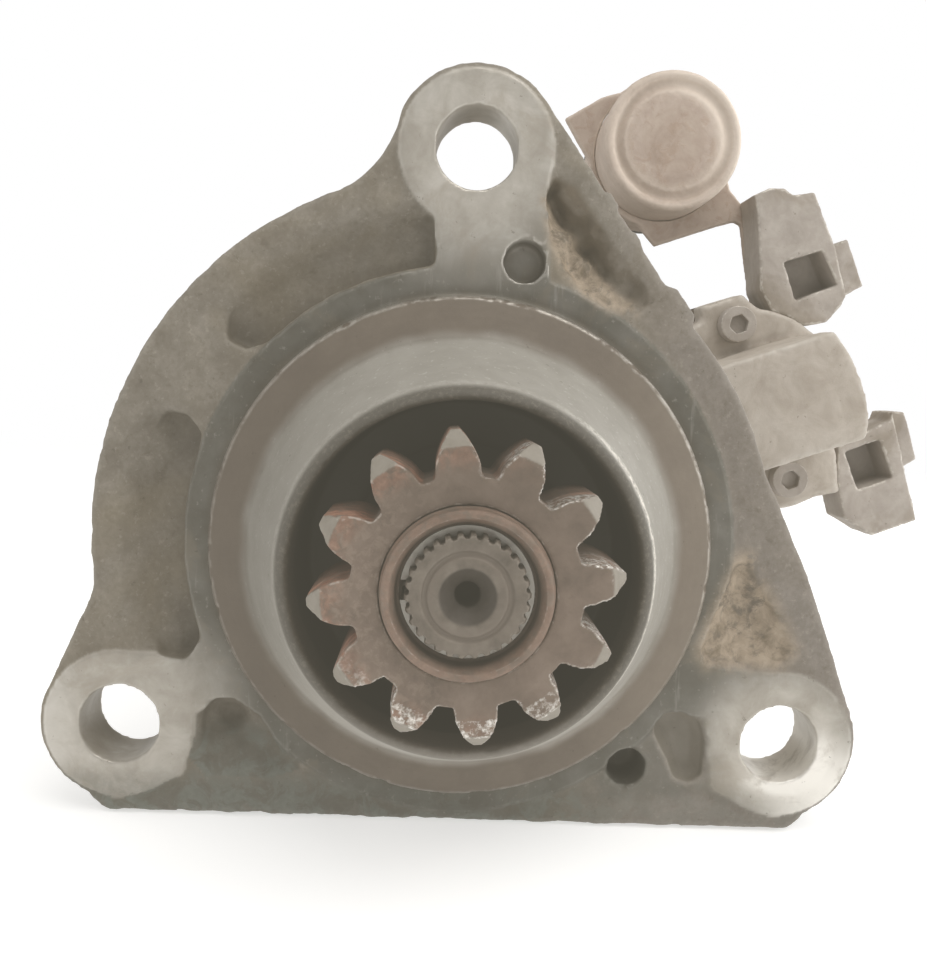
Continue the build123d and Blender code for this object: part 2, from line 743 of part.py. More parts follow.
with BuildPart() as yoke:
    with BuildSketch(front(yoke_front_y)):
        Circle(body_r)
        Circle(yoke_bore_r, mode=Mode.SUBTRACT)
    extrude(amount=-(yoke_back_y - yoke_front_y))
    # holes for the pole screw heads
    for angle, y in pole_screw_places:
        with BuildSketch(radial_plane(44, angle, y)):
            Circle(5.0)
        extrude(amount=10, mode=Mode.SUBTRACT)
    # hole for the motor lead
    with BuildSketch(radial_plane(40, lead_angle, lead_y)):
        Circle(lead_hole_r)
    extrude(amount=16, mode=Mode.SUBTRACT)
save(yoke, "yoke")

with BuildPart() as pole_shoes:
    for angle in pole_angles:
        with BuildSketch(front(160)):
            with BuildLine():
                Polyline(*arc_points(36.9, (-31, -22, -11, 0, 11, 22, 31), angle),
                         *arc_points(38.6, (31, 22), angle),
                         *arc_points(yoke_bore_r - 0.05, (16, 8, 0, -8, -16), angle),
                         *arc_points(38.6, (-22, -31), angle), close=True)
            make_face()
        extrude(amount=-85)
        for y in pole_screw_ys:
            with BuildSketch(radial_plane(40, angle, y)):
                Circle(3.0)
            extrude(amount=8, mode=Mode.SUBTRACT)
save(pole_shoes, "pole_shoes")

with BuildPart() as pole_screws:
    for angle, y in pole_screw_places:
        # shank, head and hexagon socket
        with BuildSketch(radial_plane(40.2, angle, y)):
            Circle(2.95)
        extrude(amount=8)
        with BuildSketch(radial_plane(46.3, angle, y)):
            Circle(4.9)
        extrude(amount=6.2)
        with BuildSketch(radial_plane(50.3, angle, y)):
            RegularPolygon(2.4, 6)
        extrude(amount=4, mode=Mode.SUBTRACT)
save(pole_screws, "pole_screws")

coil_inner_r, coil_outer_r = 39.0, 45.6
coil_front_y = 152.5
coil_end_angles = (-32, -20, -8, 8, 20, 32)
with BuildPart() as field_coils:
    for angle in pole_angles:
        # front and rear ends of the coil
        for y in (coil_front_y, 245.3):
            with BuildSketch(front(y)):
                with BuildLine():
                    Polyline(*arc_points(coil_outer_r, coil_end_angles, angle),
                             *arc_points(coil_inner_r, reversed(coil_end_angles), angle),
                             close=True)
                make_face()
            extrude(amount=-7.2)
        # the two long sides
        for hand in (-1, 1):
            outer_angles = [hand * t for t in (23.5, 28, 32)]
            inner_angles = [hand * t for t in (32, 28, 24.5)]
            with BuildSketch(front(coil_front_y)):
                with BuildLine():
                    Polyline(*arc_points(coil_outer_r, outer_angles, angle),
                             *arc_points(coil_inner_r, inner_angles, angle), close=True)
                make_face()
            extrude(amount=-100)
save(field_coils, "field_coils")

# ---------------------------------------------------------------------------
# Armature
# ---------------------------------------------------------------------------
armature_shaft_r = 9.0
slot_count = 23
winding_front_y = 152.6
armature_shaft_profile = [          # radius, Y
    (0, 118.9), (4.6, 118.9), (5.0, 119.4), (5.0, 124.9), (7.4, 124.9), (7.4, 142.0),
    (armature_shaft_r, 142.0), (armature_shaft_r, 280.0), (8.5, 280.4), (8.5, 296.0),
    (8.0, 296.5), (0, 296.5),
]

with BuildPart() as armature_shaft:
    with BuildSketch(Plane.XY):
        with BuildLine():
            Polyline(*armature_shaft_profile, close=True)
        make_face()
    revolve(axis=Axis.Y)
    # sun gear
    with BuildSketch(front(125.2)):
        Polygon(*external_gear(sun_teeth, planet_phase), align=None)
    extrude(amount=-16.8)
save(armature_shaft, "armature_shaft")

with BuildPart() as armature_core:
    with BuildSketch(front(162)):
        Circle(36.1)
        Circle(armature_shaft_r, mode=Mode.SUBTRACT)
        with PolarLocations(33.6, slot_count):
            Rectangle(6.0, 3.2, mode=Mode.SUBTRACT)
    extrude(amount=-81)
save(armature_core, "armature_core")

with BuildPart() as armature_windings:
    # bars in the slots
    with BuildSketch(front(winding_front_y)):
        with PolarLocations(32.9, slot_count):
            Rectangle(4.0, 2.6)
    extrude(amount=-100)
    # end turns, front and rear: Y, length
    for y, length in ((winding_front_y, 8.6), (243.8, 8.2)):
        with BuildSketch(front(y)):
            Circle(34.2)
            Circle(12.0, mode=Mode.SUBTRACT)
        extrude(amount=-length)
save(armature_windings, "armature_windings")

commutator_r = 20.0
with BuildPart() as commutator:
    with BuildSketch(front(253.5)):
        Circle(commutator_r)
        Circle(armature_shaft_r, mode=Mode.SUBTRACT)
        with PolarLocations(19.2, slot_count):
            Rectangle(2.4, 0.7, mode=Mode.SUBTRACT)
    extrude(amount=-23)
save(commutator, "commutator")

# ---------------------------------------------------------------------------
# Brush gear.  Rectangles are sized along Y, then round the motor
# ---------------------------------------------------------------------------
brush_angles = (65, 155, 245, 335)
brush_y = 266.5
brush_inner_r = commutator_r + 0.05
brush_length = 14.0
brush_spring_r = brush_inner_r + brush_length + 0.1

with BuildPart() as brush_plate:
    with BuildSketch(front(277.5)):
        Circle(45.8)
        Circle(12.5, mode=Mode.SUBTRACT)
    extrude(amount=-2.0)
    # open box holders standing on the plate
    for angle in brush_angles:
        with BuildSketch(brush_face(22.0, angle, 266.6)):
            Rectangle(22.0, 14.0)
            Rectangle(17.0, 10.2, mode=Mode.SUBTRACT)
        extrude(amount=19.5)
save(brush_plate, "brush_plate")

with BuildPart() as brushes:
    for angle in brush_angles:
        with BuildSketch(brush_face(brush_inner_r, angle, brush_y)):
            Rectangle(16.8, 10.0)
        extrude(amount=brush_length)
save(brushes, "brushes")

with BuildPart() as brush_springs:
    for angle in brush_angles:
        # flat plate on the brush, then an upright strip: size along Y, height
        for width, height in ((12.0, 0.8), (1.6, 7.2)):
            with BuildSketch(brush_face(brush_spring_r, angle, brush_y)):
                Rectangle(width, 7.0)
            extrude(amount=height)
save(brush_springs, "brush_springs")

# ---------------------------------------------------------------------------
# Rear cover, bearing, cap and through bolts
# ---------------------------------------------------------------------------
rear_bore_r = 17.5
bolt_seat_y = 282.0
cap_screws = arc_points(20.6, through_angles)
rear_cover_profile = [              # radius, Y
    (rear_bore_r, 283.0), (40.0, 283.0), (yoke_bore_r, 279.7), (yoke_bore_r, yoke_back_y),
    (body_r, yoke_back_y), (body_r, 282.0), (50.0, 288.5), (45.0, 291.5), (27.0, 292.0),
    (24.0, 295.0), (23.4, 300.0), (rear_bore_r, 300.0),
]
rear_cap_profile = [                # radius, Y
    (0, 301.2), (16.0, 301.2), (17.0, 300.0), (23.2, 300.0), (23.2, 301.4), (18.4, 301.6),
    (16.8, 303.2), (0, 303.6),
]

with BuildPart() as rear_cover:
    with BuildSketch(Plane.XY):
        with BuildLine():
            Polyline(*rear_cover_profile, close=True)
        make_face()
    revolve(axis=Axis.Y)
    # through-bolt bosses
    for angle in through_angles:
        with BuildSketch(front(yoke_back_y)):
            with Locations(polar_deg(through_circle_r, angle)):
                Circle(boss_r)
            with Locations(radial_location(53.0, angle)):
                Rectangle(8.0, boss_width)
        extrude(amount=-12)
    # raised ribs on the end face
    for angle in (20, 140, 260):
        with BuildSketch(front(290.6)):
            with Locations(radial_location(35.0, angle)):
                Rectangle(20.0, 4.0)
        extrude(amount=-4.0)
    # bolt holes and bearing bore
    with BuildSketch(front(yoke_back_y - 1)):
        with Locations(*through_holes):
            Circle(bolt_clearance_r)
        Circle(rear_bore_r)
    extrude(amount=-40, mode=Mode.SUBTRACT)
    # room for the bolt heads
    with BuildSketch(front(bolt_seat_y)):
        with Locations(*through_holes):
            Circle(6.8)
    extrude(amount=-20, mode=Mode.SUBTRACT)
    # cap screw holes
    with BuildSketch(front(292)):
        with Locations(*cap_screws):
            Circle(1.25)
    extrude(amount=-20, mode=Mode.SUBTRACT)
save(rear_cover, "rear_cover")

turned("rear_bearing", [(8.52, 284.0), (rear_bore_r, 284.0), (rear_bore_r, 295.0),
                        (8.52, 295.0)])

with BuildPart() as rear_cap:
    with BuildSketch(Plane.XY):
        with BuildLine():
            Polyline(*rear_cap_profile, close=True)
        make_face()
    revolve(axis=Axis.Y)
    with BuildSketch(front(299)):
        with Locations(*cap_screws):
            Circle(1.35)
    extrude(amount=-4, mode=Mode.SUBTRACT)
save(rear_cap, "rear_cap")

with BuildPart() as rear_cap_screws:
    # shank, head and the joint between them: front Y, radius, length
    for y, radius, length in ((294, 1.2, 7.5), (301.66, 2.3, 1.4), (301.4, 1.2, 0.6)):
        with BuildSketch(front(y)):
            with Locations(*cap_screws):
                Circle(radius)
        extrude(amount=-length)
save(rear_cap_screws, "rear_cap_screws")

with BuildPart() as through_bolts:
    # shank and washer: front Y, radius, length
    for y, radius, length in ((102, 2.95, 182), (bolt_seat_y, 6.1, 1.2)):
        with BuildSketch(front(y)):
            with Locations(*through_holes):
                Circle(radius)
        extrude(amount=-length)
    # hexagon head
    with BuildSketch(front(bolt_seat_y + 1.2)):
        with Locations(*through_holes):
            RegularPolygon(5.6, 6)
    extrude(amount=-5.0)
save(through_bolts, "through_bolts")

# ---------------------------------------------------------------------------
# Shift lever with fork pads
# ---------------------------------------------------------------------------
arm_inner = 22.2                    # fork arm's inner face, across from the axis
arm_thickness = 4.0
pad_inner = 15.6
hub_width = 16.8
blade_thickness = 6.0
# fork arm beside the collar: out, Y
fork_arm_outline = [
    (-4.6, groove_y - 4.0), (4.0, groove_y - 5.2), (28.0, pivot_y - 1.4),
    (28.0, pivot_y + 9.2), (4.0, groove_y + 5.2), (-4.6, groove_y + 4.0),
]
# shoulder from a fork arm in to the hub: out, across
shoulder_outline = [(26.0, 22.2), (26.0, 26.2), (30.5, 22.6), (47.0, 8.6), (47.0, 3.6),
                    (43.0, 5.2), (28.0, 18.6)]
# blade from the hub to the plunger: out, Y
blade_outline = [
    (pivot_out, pivot_y - 7.0), (solenoid_out - 1, pin_y - 4.8),
    (solenoid_out + 4.0, pin_y - 3.4), (solenoid_out + 5.2, pin_y),
    (solenoid_out + 4.0, pin_y + 3.4), (solenoid_out - 1, pin_y + 4.8),
    (pivot_out, pivot_y + 7.0),
]

with BuildPart() as shift_lever:
    for across in (arm_inner, -arm_inner - arm_thickness):
        with BuildSketch(lever_plane(across)):
            with BuildLine():
                Polyline(*fork_arm_outline, close=True)
            make_face()
        extrude(amount=arm_thickness)
    for hand in (1, -1):
        with BuildSketch(tilted(pivot_y - 2.0)):
            with BuildLine():
                Polyline(*[(out, hand * across) for out, across in shoulder_outline],
                         close=True)
            make_face()
        extrude(amount=-9.0)
    # pivot hub
    with BuildSketch(lever_plane(-hub_width / 2)):
        with Locations(pivot):
            Circle(8.0)
    extrude(amount=hub_width)
    with BuildSketch(lever_plane(-blade_thickness / 2)):
        with BuildLine():
            Polyline(*blade_outline, close=True)
        make_face()
    extrude(amount=blade_thickness)
    # pivot hole
    with BuildSketch(lever_plane(-16)):
        with Locations(pivot):
            Circle(pivot_r + 0.05)
    extrude(amount=32, mode=Mode.SUBTRACT)
    # slot for the plunger's cross pin
    with BuildSketch(lever_plane(-9)):
        with Locations(Location((solenoid_out - 0.35, pin_y, 0), (0, 0, -12))):
            SlotOverall(7.4, 5.3)
    extrude(amount=18, mode=Mode.SUBTRACT)
save(shift_lever, "shift_lever")

with BuildPart() as fork_pads:
    for across in (pad_inner, -arm_inner):
        with BuildSketch(lever_plane(across)):
            with Locations((0, groove_y)):
                Circle(4.6)
        extrude(amount=arm_inner - pad_inner)
save(fork_pads, "fork_pads")

rods("lever_pivot_pin", lever_plane(-17.0), [pivot], pivot_r, length=34.0)

# ---------------------------------------------------------------------------
# Solenoid.  Profiles are radius, Y about the solenoid axis
# ---------------------------------------------------------------------------
solenoid_case_profile = [
    (13.0, solenoid_front_y), (solenoid_r, solenoid_front_y), (solenoid_r, solenoid_back_y),
    (22.1, solenoid_back_y), (22.1, solenoid_front_y + 5), (13.0, solenoid_front_y + 5),
]
case_ear_outlines = [               # out, across
    [(74.6, 16.0), (75.2, 28.6), (86.8, 28.4), (90.2, 23.0), (89.4, 16.0)],
    [(75.0, -16.0), (77.0, -27.6), (84.0, -28.6), (91.0, -28.2), (93.6, -22.0),
     (92.0, -16.0)],
]
with BuildPart() as solenoid_case:
    with BuildSketch(solenoid_section):
        with BuildLine():
            Polyline(*solenoid_case_profile, close=True)
        make_face()
    revolve(axis=solenoid_axis)
    # screw ears
    with BuildSketch(tilted(solenoid_front_y)):
        for outline in case_ear_outlines:
            with BuildLine():
                Polyline(*outline, close=True)
            make_face()
    extrude(amount=-5)
    with BuildSketch(tilted(solenoid_front_y - 1)):
        with Locations(*ear_holes):
            Circle(ear_hole_r)
    extrude(amount=-6, mode=Mode.SUBTRACT)
save(solenoid_case, "solenoid_case")

screw_front_y = 68.2
with BuildPart() as solenoid_screws:
    # shank
    with BuildSketch(tilted(64.0)):
        with Locations(*ear_holes):
            Circle(2.5)
    extrude(amount=-20.8)
    # head, ending on the seat
    with BuildSketch(tilted(screw_front_y)):
        with Locations(*ear_holes):
            Circle(4.6)
    extrude(amount=-(seat_front_y - screw_front_y))
    # trim the shank flush with the head
    with BuildSketch(tilted(63.0)):
        with Locations(*ear_holes):
            Circle(8.0)
    extrude(amount=-(screw_front_y - 63.0), mode=Mode.SUBTRACT)
    # hexagon socket
    with BuildSketch(tilted(67.0)):
        with Locations(*ear_holes):
            RegularPolygon(2.5, 6)
    extrude(amount=-3.2, mode=Mode.SUBTRACT)
save(solenoid_screws, "solenoid_screws")

turned("solenoid_coil", [(12.6, 85.4), (21.9, 85.4), (21.9, 151.4), (12.6, 151.4)],
       solenoid_section, solenoid_axis)

turned("solenoid_core", [
    (3.1, 156.8), (22.0, 156.8), (22.0, 151.6), (12.3, 151.6), (12.3, 132.4), (8.2, 132.4),
    (8.2, 142.0), (3.1, 142.0)], solenoid_section, solenoid_axis)

plunger_profile = [(0, 70.4), (11.6, 70.4), (12.2, 71.2), (12.2, 118.0), (8.0, 118.0),
                   (8.0, 100.0), (0, 100.0)]
plunger_rod_profile = [(0, 99.0), (2.9, 99.0), (2.9, 131.0), (2.4, 131.5), (0, 131.5)]
clevis_width = 16.0
clevis_gap = 7.0
clevis_outline = [                  # out, Y
    (solenoid_out - 5.0, 71.0), (solenoid_out - 5.0, pin_y - 2),
    (solenoid_out - 3.0, pin_y - 5.0), (solenoid_out + 3.0, pin_y - 5.0),
    (solenoid_out + 5.0, pin_y - 2), (solenoid_out + 5.0, 71.0),
]
clevis_gap_outline = [              # out, Y
    (solenoid_out - 12.5, 40.0), (solenoid_out + 12.5, 40.0),
    (solenoid_out + 12.5, 70.5), (solenoid_out - 12.5, 70.5),
]
with BuildPart() as plunger:
    with BuildSketch(solenoid_section):
        with BuildLine():
            Polyline(*plunger_profile, close=True)
        make_face()
    revolve(axis=solenoid_axis)
    # clevis ears round the lever end
    with BuildSketch(lever_plane(-clevis_width / 2)):
        with BuildLine():
            Polyline(*clevis_outline, close=True)
        make_face()
    extrude(amount=clevis_width)
    with BuildSketch(lever_plane(-clevis_gap / 2)):
        with BuildLine():
            Polyline(*clevis_gap_outline, close=True)
        make_face()
    extrude(amount=clevis_gap, mode=Mode.SUBTRACT)
    with BuildSketch(lever_plane(-9.0)):
        with Locations(cross_pin):
            Circle(cross_pin_r)
    extrude(amount=18.0, mode=Mode.SUBTRACT)
    # rod running back from the plunger
    with BuildSketch(solenoid_section):
        with BuildLine():
            Polyline(*plunger_rod_profile, close=True)
        make_face()
    revolve(axis=solenoid_axis)
save(plunger, "plunger")

rods("plunger_pin", lever_plane(-clevis_width / 2), [cross_pin], cross_pin_r,
     length=clevis_width)

spring("plunger_spring", solenoid_xz, front_y=102.8, coil_r=6.2, wire_r=0.9, pitch=5.6,
       height=38.6)

turned("contact_disc", [
    (0, 144.9), (2.9, 144.9), (2.9, 174.6), (17.6, 174.6), (17.6, 177.6), (2.9, 177.6),
    (2.9, 184.0), (0, 184.0)], solenoid_section, solenoid_axis)

# ---------------------------------------------------------------------------
# Solenoid cap, terminals and motor lead
# ---------------------------------------------------------------------------
# stud places are out, across from the solenoid axis
studs = [(-2.6, 10.8), (2.6, -10.8)]
stud_r, stud_neck_r = 5.0, 4.6      # thread size, and the neck inside cap and nut
stud_free_y, stud_end_y = 203.4, 216.0
control_place = (14.0, 3.0)
control_r, control_neck_r = 2.5, 2.2
control_front_y, control_free_y, control_end_y = 184.4, 199.6, 208.4
cap_back_y = 196.0
cap_profile = [                     # radius, Y
    (0, cap_back_y), (23.0, cap_back_y), (25.0, 193.6), (25.5, solenoid_back_y),
    (22.0, solenoid_back_y), (22.0, 157.0), (18.8, 157.0), (18.8, 187.0), (0, 187.0),
]

with BuildPart() as solenoid_cap:
    with BuildSketch(solenoid_section):
        with BuildLine():
            Polyline(*cap_profile, close=True)
        make_face()
    revolve(axis=solenoid_axis)
    # barrier rib between the two power studs
    with BuildSketch(solenoid_face(cap_back_y)):
        with Locations(Location((-6.8, -1.7, 0), (0, 0, -76))):
            Rectangle(3.4, 26.0)
    extrude(amount=-7.0)
    # stud holes, with a blind hole between them for the contact disc's rod
    with BuildSketch(solenoid_face(186)):
        with Locations(*studs):
            Circle(stud_neck_r)
        with Locations(control_place):
            Circle(control_neck_r)
        Circle(3.3)
    extrude(amount=-5, mode=Mode.SUBTRACT)
    with BuildSketch(solenoid_face(190)):
        with Locations(*studs):
            Circle(stud_neck_r)
        with Locations(control_place):
            Circle(control_neck_r)
    extrude(amount=-8, mode=Mode.SUBTRACT)
save(solenoid_cap, "solenoid_cap")

# lengths of each power stud, head first: front Y, radius, length
stud_lengths = [
    (180.2, 7.0, 6.8),
    (186.9, stud_neck_r, stud_free_y - 186.9),
    (stud_free_y, stud_r, stud_end_y - stud_free_y),
]
with BuildPart() as power_studs:
    for y, radius, length in stud_lengths:
        with BuildSketch(solenoid_face(y)):
            with Locations(*studs):
                Circle(radius)
        extrude(amount=-length)
save(power_studs, "power_studs")

with BuildPart() as control_stud:
    with BuildSketch(solenoid_face(control_front_y)):
        with Locations(control_place):
            Circle(control_neck_r)
    extrude(amount=-(control_free_y - control_front_y))
    with BuildSketch(solenoid_face(control_free_y)):
        with Locations(control_place):
            Circle(control_r)
    extrude(amount=-(control_end_y - control_free_y))
save(control_stud, "control_stud")

# places, hexagon radius, neck radius, thickness
nuts = [(studs, 8.6, stud_neck_r, 6.0), ([control_place], 4.5, control_neck_r, 3.6)]
with BuildPart() as stud_nuts:
    for places, hexagon_r, neck_r, thickness in nuts:
        with BuildSketch(solenoid_face(cap_back_y)):
            with Locations(*places):
                RegularPolygon(hexagon_r, 6)
                Circle(neck_r + 0.02, mode=Mode.SUBTRACT)
        extrude(amount=-thickness)
save(stud_nuts, "stud_nuts")

# body in the yoke's hole, outer flange and the neck joining them:
# inner end from the motor axis, radius, length
grommet_hole_r = 3.6
grommet_r = lead_hole_r - 0.05
with BuildPart() as lead_grommet:
    for distance, radius, length in (
            (46.4, grommet_r, 5.0), (52.3, 8.0, 2.6), (51.0, grommet_r, 1.6)):
        with BuildSketch(radial_plane(distance, lead_angle, lead_y)):
            Circle(radius)
            Circle(grommet_hole_r, mode=Mode.SUBTRACT)
        extrude(amount=length)
save(lead_grommet, "lead_grommet")

# cable from inside the yoke, bending forward to a lug on the first power stud
motor_stud_xz = tilted_xz(solenoid_out + studs[0][0], studs[0][1])
lead_x, lead_z = polar_deg(1, lead_angle)
lead_start_r, lead_bend_r = 38.0, 57.0
lead_start = (lead_start_r * lead_x, lead_y, lead_start_r * lead_z)
lead_bend = (lead_bend_r * lead_x, lead_y, lead_bend_r * lead_z)
with BuildPart() as motor_lead:
    with BuildLine():
        Line(lead_start, lead_bend)
        Spline(lead_bend, (46.5, 251.0, 50.0), (48.0, 222.0, 47.5),
               (motor_stud_xz[0] - 9.0, 203.3, motor_stud_xz[1] + 2.0),
               tangents=((lead_x, 0, lead_z), (0.9, -0.3, -0.2)))
    with BuildSketch(radial_plane(lead_start_r, lead_angle, lead_y)):
        Circle(3.3)
    sweep()
    # flat lug round the stud, behind its nut
    with BuildSketch(tilted(202.2, motor_stud_xz)):
        Circle(8.4)
        with Locations(Location((-8.0, 4.4, 0), (0, 0, -29))):
            Rectangle(9.0, 9.0)
        Circle(stud_r + 0.02, mode=Mode.SUBTRACT)
    extrude(amount=-2.2)
save(motor_lead, "motor_lead")

# ---------------------------------------------------------------------------
# Bracket band round the solenoid, and terminal blocks.  Outlines are out, across
# ---------------------------------------------------------------------------
relay_r = 17.6
bracket_y = 88
# plate behind the upper block widening into the relay's seat, and plate behind the lower
bracket_outlines = [
    [(94.0, 16.0), (106.0, 16.0), (112.0, 22.0), (112.0, 34.0), (111.0, 46.0), (104.0, 50.0),
     (98.4, 51.2), (96.3, 55.9), (97.0, 66.0), (90.0, 82.0), (78.0, 89.0), (70.4, 89.4),
     (59.2, 87.0), (63.4, 68.8), (67.2, 60.8), (72.6, 47.7), (90.5, 47.7), (95.2, 47.4),
     (96.6, 46.0), (94.2, 32.0), (93.6, 26.0)],
    [(95.5, -15.0), (105.0, -17.6), (115.0, -17.6), (115.4, -42.0), (103.8, -42.4),
     (98.6, -36.2), (99.4, -26.0), (94.0, -20.0)],
]
with BuildPart() as relay_bracket:
    # band
    with BuildSketch(solenoid_face(bracket_y)):
        Circle(solenoid_r + 1.6)
    extrude(amount=-10)
    with BuildSketch(tilted(bracket_y)):
        for outline in bracket_outlines:
            with BuildLine():
                Polyline(*outline, close=True)
            make_face()
        with Locations((relay_out, relay_across)):
            Circle(19.4)
    extrude(amount=-2.5)
    # openings for the solenoid and the relay
    with BuildSketch(tilted(bracket_y - 2)):
        with Locations((solenoid_out, 0)):
            Circle(solenoid_r)
        with Locations((relay_out, relay_across)):
            Circle(relay_r + 0.05)
    extrude(amount=-14, mode=Mode.SUBTRACT)
save(relay_bracket, "relay_bracket")

block_y = 75.0


def terminal_block(name, outline, pocket, relief):
    """Block with a pocket in its front and a relieved outer tab."""
    with BuildPart() as block:
        with BuildSketch(tilted(block_y)):
            with BuildLine():
                Polyline(*outline, close=True)
            make_face()
        extrude(amount=-13.0)
        with BuildSketch(tilted(block_y)):
            with BuildLine():
                Polyline(*pocket, close=True)
            make_face()
        extrude(amount=-10.5, mode=Mode.SUBTRACT)
        with BuildSketch(tilted(block_y - 1)):
            with BuildLine():
                Polyline(*relief, close=True)
            make_face()
        extrude(amount=-4.0, mode=Mode.SUBTRACT)
        # clearance round the solenoid
        with BuildSketch(solenoid_face(block_y - 4)):
            Circle(solenoid_r + 0.2)
        extrude(amount=-30, mode=Mode.SUBTRACT)
    save(block, name)


terminal_block(
    "terminal_block_upper",
    outline=[(97.7, 51.6), (102.0, 52.1), (105.7, 50.9), (107.2, 48.6), (112.8, 47.6),
             (113.3, 42.7), (114.2, 33.1), (119.0, 33.7), (119.8, 20.7), (113.4, 19.6),
             (111.6, 17.6), (106.9, 14.6), (97.0, 16.4), (94.0, 21.0), (92.6, 28.0),
             (95.0, 38.0), (97.0, 46.0)],
    pocket=[(100.4, 33.0), (110.6, 32.9), (112.1, 23.1), (100.6, 22.6)],
    relief=[(114.4, 34.5), (122.0, 36.0), (122.0, 18.0), (113.5, 18.6)])
terminal_block(
    "terminal_block_lower",
    outline=[(101.0, -17.4), (115.9, -15.0), (117.4, -13.1), (121.7, -14.5), (121.4, -27.7),
             (116.4, -29.0), (116.0, -42.9), (103.3, -43.3), (97.4, -36.6), (98.4, -26.0)],
    pocket=[(102.4, -19.5), (112.1, -19.2), (112.8, -30.0), (103.0, -30.2)],
    relief=[(117.4, -12.0), (123.0, -12.0), (123.0, -30.0), (116.6, -29.0)])

# ---------------------------------------------------------------------------
# Relay.  Profiles are radius, Y about the relay axis
# ---------------------------------------------------------------------------
can_back_y = 109.0
blade_places = ((7.5, 5.5), (7.5, -5.5), (-7.5, 5.5), (-7.5, -5.5))
blade_size = (0.9, 5.8)             # out, across

turned("relay_can", [
    (0, 73.4), (8.0, 73.2), (12.4, 73.3), (13.2, 74.0), (14.0, 74.3), (14.8, 74.1),
    (15.4, 73.2), (16.5, 72.7), (17.3, 73.3), (relay_r, 74.4), (relay_r, can_back_y),
    (16.3, can_back_y), (16.3, 76.4), (13.0, 76.2), (11.6, 74.9), (0, 74.9)],
    relay_section, relay_axis)

relay_base_profile = [(0, can_back_y), (relay_r, can_back_y), (relay_r, 112.0),
                      (15.6, 114.5), (0, 114.5)]
with BuildPart() as relay_base:
    with BuildSketch(relay_section):
        with BuildLine():
            Polyline(*relay_base_profile, close=True)
        make_face()
    revolve(axis=relay_axis)
    # plug inside the can
    with BuildSketch(relay_face(103.0)):
        Circle(16.2)
    extrude(amount=-6.2)
    # blade slots
    with BuildSketch(relay_face(102)):
        with Locations(*blade_places):
            Rectangle(*blade_size)
    extrude(amount=-16, mode=Mode.SUBTRACT)
save(relay_base, "relay_base")

turned("relay_coil", [(4.1, 79.4), (14.6, 79.4), (14.6, 97.0), (4.1, 97.0)],
       relay_section, relay_axis)

turned("relay_plunger", [
    (0, 75.6), (4.0, 75.6), (4.0, 96.6), (1.6, 96.6), (1.6, 98.0), (12.0, 98.0),
    (12.0, 99.6), (0, 99.6)], relay_section, relay_axis)

with BuildPart() as relay_blades:
    with BuildSketch(relay_face(102.4)):
        with Locations(*blade_places):
            Rectangle(*blade_size)
    extrude(amount=-22)
save(relay_blades, "relay_blades")
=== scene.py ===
"""Starter motor: a weathered drive housing with its pinion, solenoid, yoke and terminals.

The shaft runs along Y through the origin. The pinion and the nose face -Y, the motor lies
towards +Y, +Z is up and +X is right as seen from the nose. CAD pieces come in metres;
sculpting is done in millimetres and scaled back at the end.
"""
import itertools
import json
import math
from types import SimpleNamespace

import bmesh
import bpy
import numpy as np
from mathutils import Matrix, Vector


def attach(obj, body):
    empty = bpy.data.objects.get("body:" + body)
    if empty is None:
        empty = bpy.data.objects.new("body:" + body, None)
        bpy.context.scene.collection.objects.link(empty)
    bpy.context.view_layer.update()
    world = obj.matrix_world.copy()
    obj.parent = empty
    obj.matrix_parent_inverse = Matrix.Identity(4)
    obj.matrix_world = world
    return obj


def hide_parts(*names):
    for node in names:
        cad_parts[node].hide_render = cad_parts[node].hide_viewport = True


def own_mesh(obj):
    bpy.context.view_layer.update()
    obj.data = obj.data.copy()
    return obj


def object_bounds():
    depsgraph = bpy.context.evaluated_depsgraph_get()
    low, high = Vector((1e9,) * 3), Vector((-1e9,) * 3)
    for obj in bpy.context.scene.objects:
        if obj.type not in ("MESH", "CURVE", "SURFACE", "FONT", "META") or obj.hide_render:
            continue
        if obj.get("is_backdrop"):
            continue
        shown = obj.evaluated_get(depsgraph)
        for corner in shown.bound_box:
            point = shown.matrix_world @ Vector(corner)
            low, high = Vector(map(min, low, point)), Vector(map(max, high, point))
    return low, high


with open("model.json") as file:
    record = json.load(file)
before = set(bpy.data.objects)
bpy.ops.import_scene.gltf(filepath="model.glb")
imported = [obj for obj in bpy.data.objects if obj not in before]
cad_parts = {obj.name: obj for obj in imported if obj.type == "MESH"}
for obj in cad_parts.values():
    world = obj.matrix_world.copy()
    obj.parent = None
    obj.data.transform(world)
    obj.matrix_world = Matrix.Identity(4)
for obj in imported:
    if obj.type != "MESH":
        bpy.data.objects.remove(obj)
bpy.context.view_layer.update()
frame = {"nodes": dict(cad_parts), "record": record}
NODES = frame["nodes"]
RECORD = frame["record"]
NODE_BODY = {node: body for body, nodes in RECORD["behaviour"]["bodies"].items() for node in nodes}
SLOT = {part["node"]: part["material_slot"] for part in RECORD["subparts"]}
SCENE = bpy.context.scene

MM = 0.001
# the solenoid axis is parallel to the shaft, out at this angle above +X
SOLENOID_COS, SOLENOID_SIN = math.cos(math.radians(20)), math.sin(math.radians(20))
SOLENOID_OFFSET = 0.0800


# ---------------------------------------------------------------- noise and distance
def lattice(cell, seed):
    """A fixed random number from 0 to 1 for each whole-numbered cell."""
    x, y, z = cell.T
    bits = (x * 374761393 + y * 668265263 + z * 1442695041 + seed * 1274126177) & 0xFFFFFFFF
    bits = ((bits ^ (bits >> 13)) * 1274126177) & 0xFFFFFFFF
    bits = bits ^ (bits >> 16)
    return (bits & 0xFFFF) / 65535.0


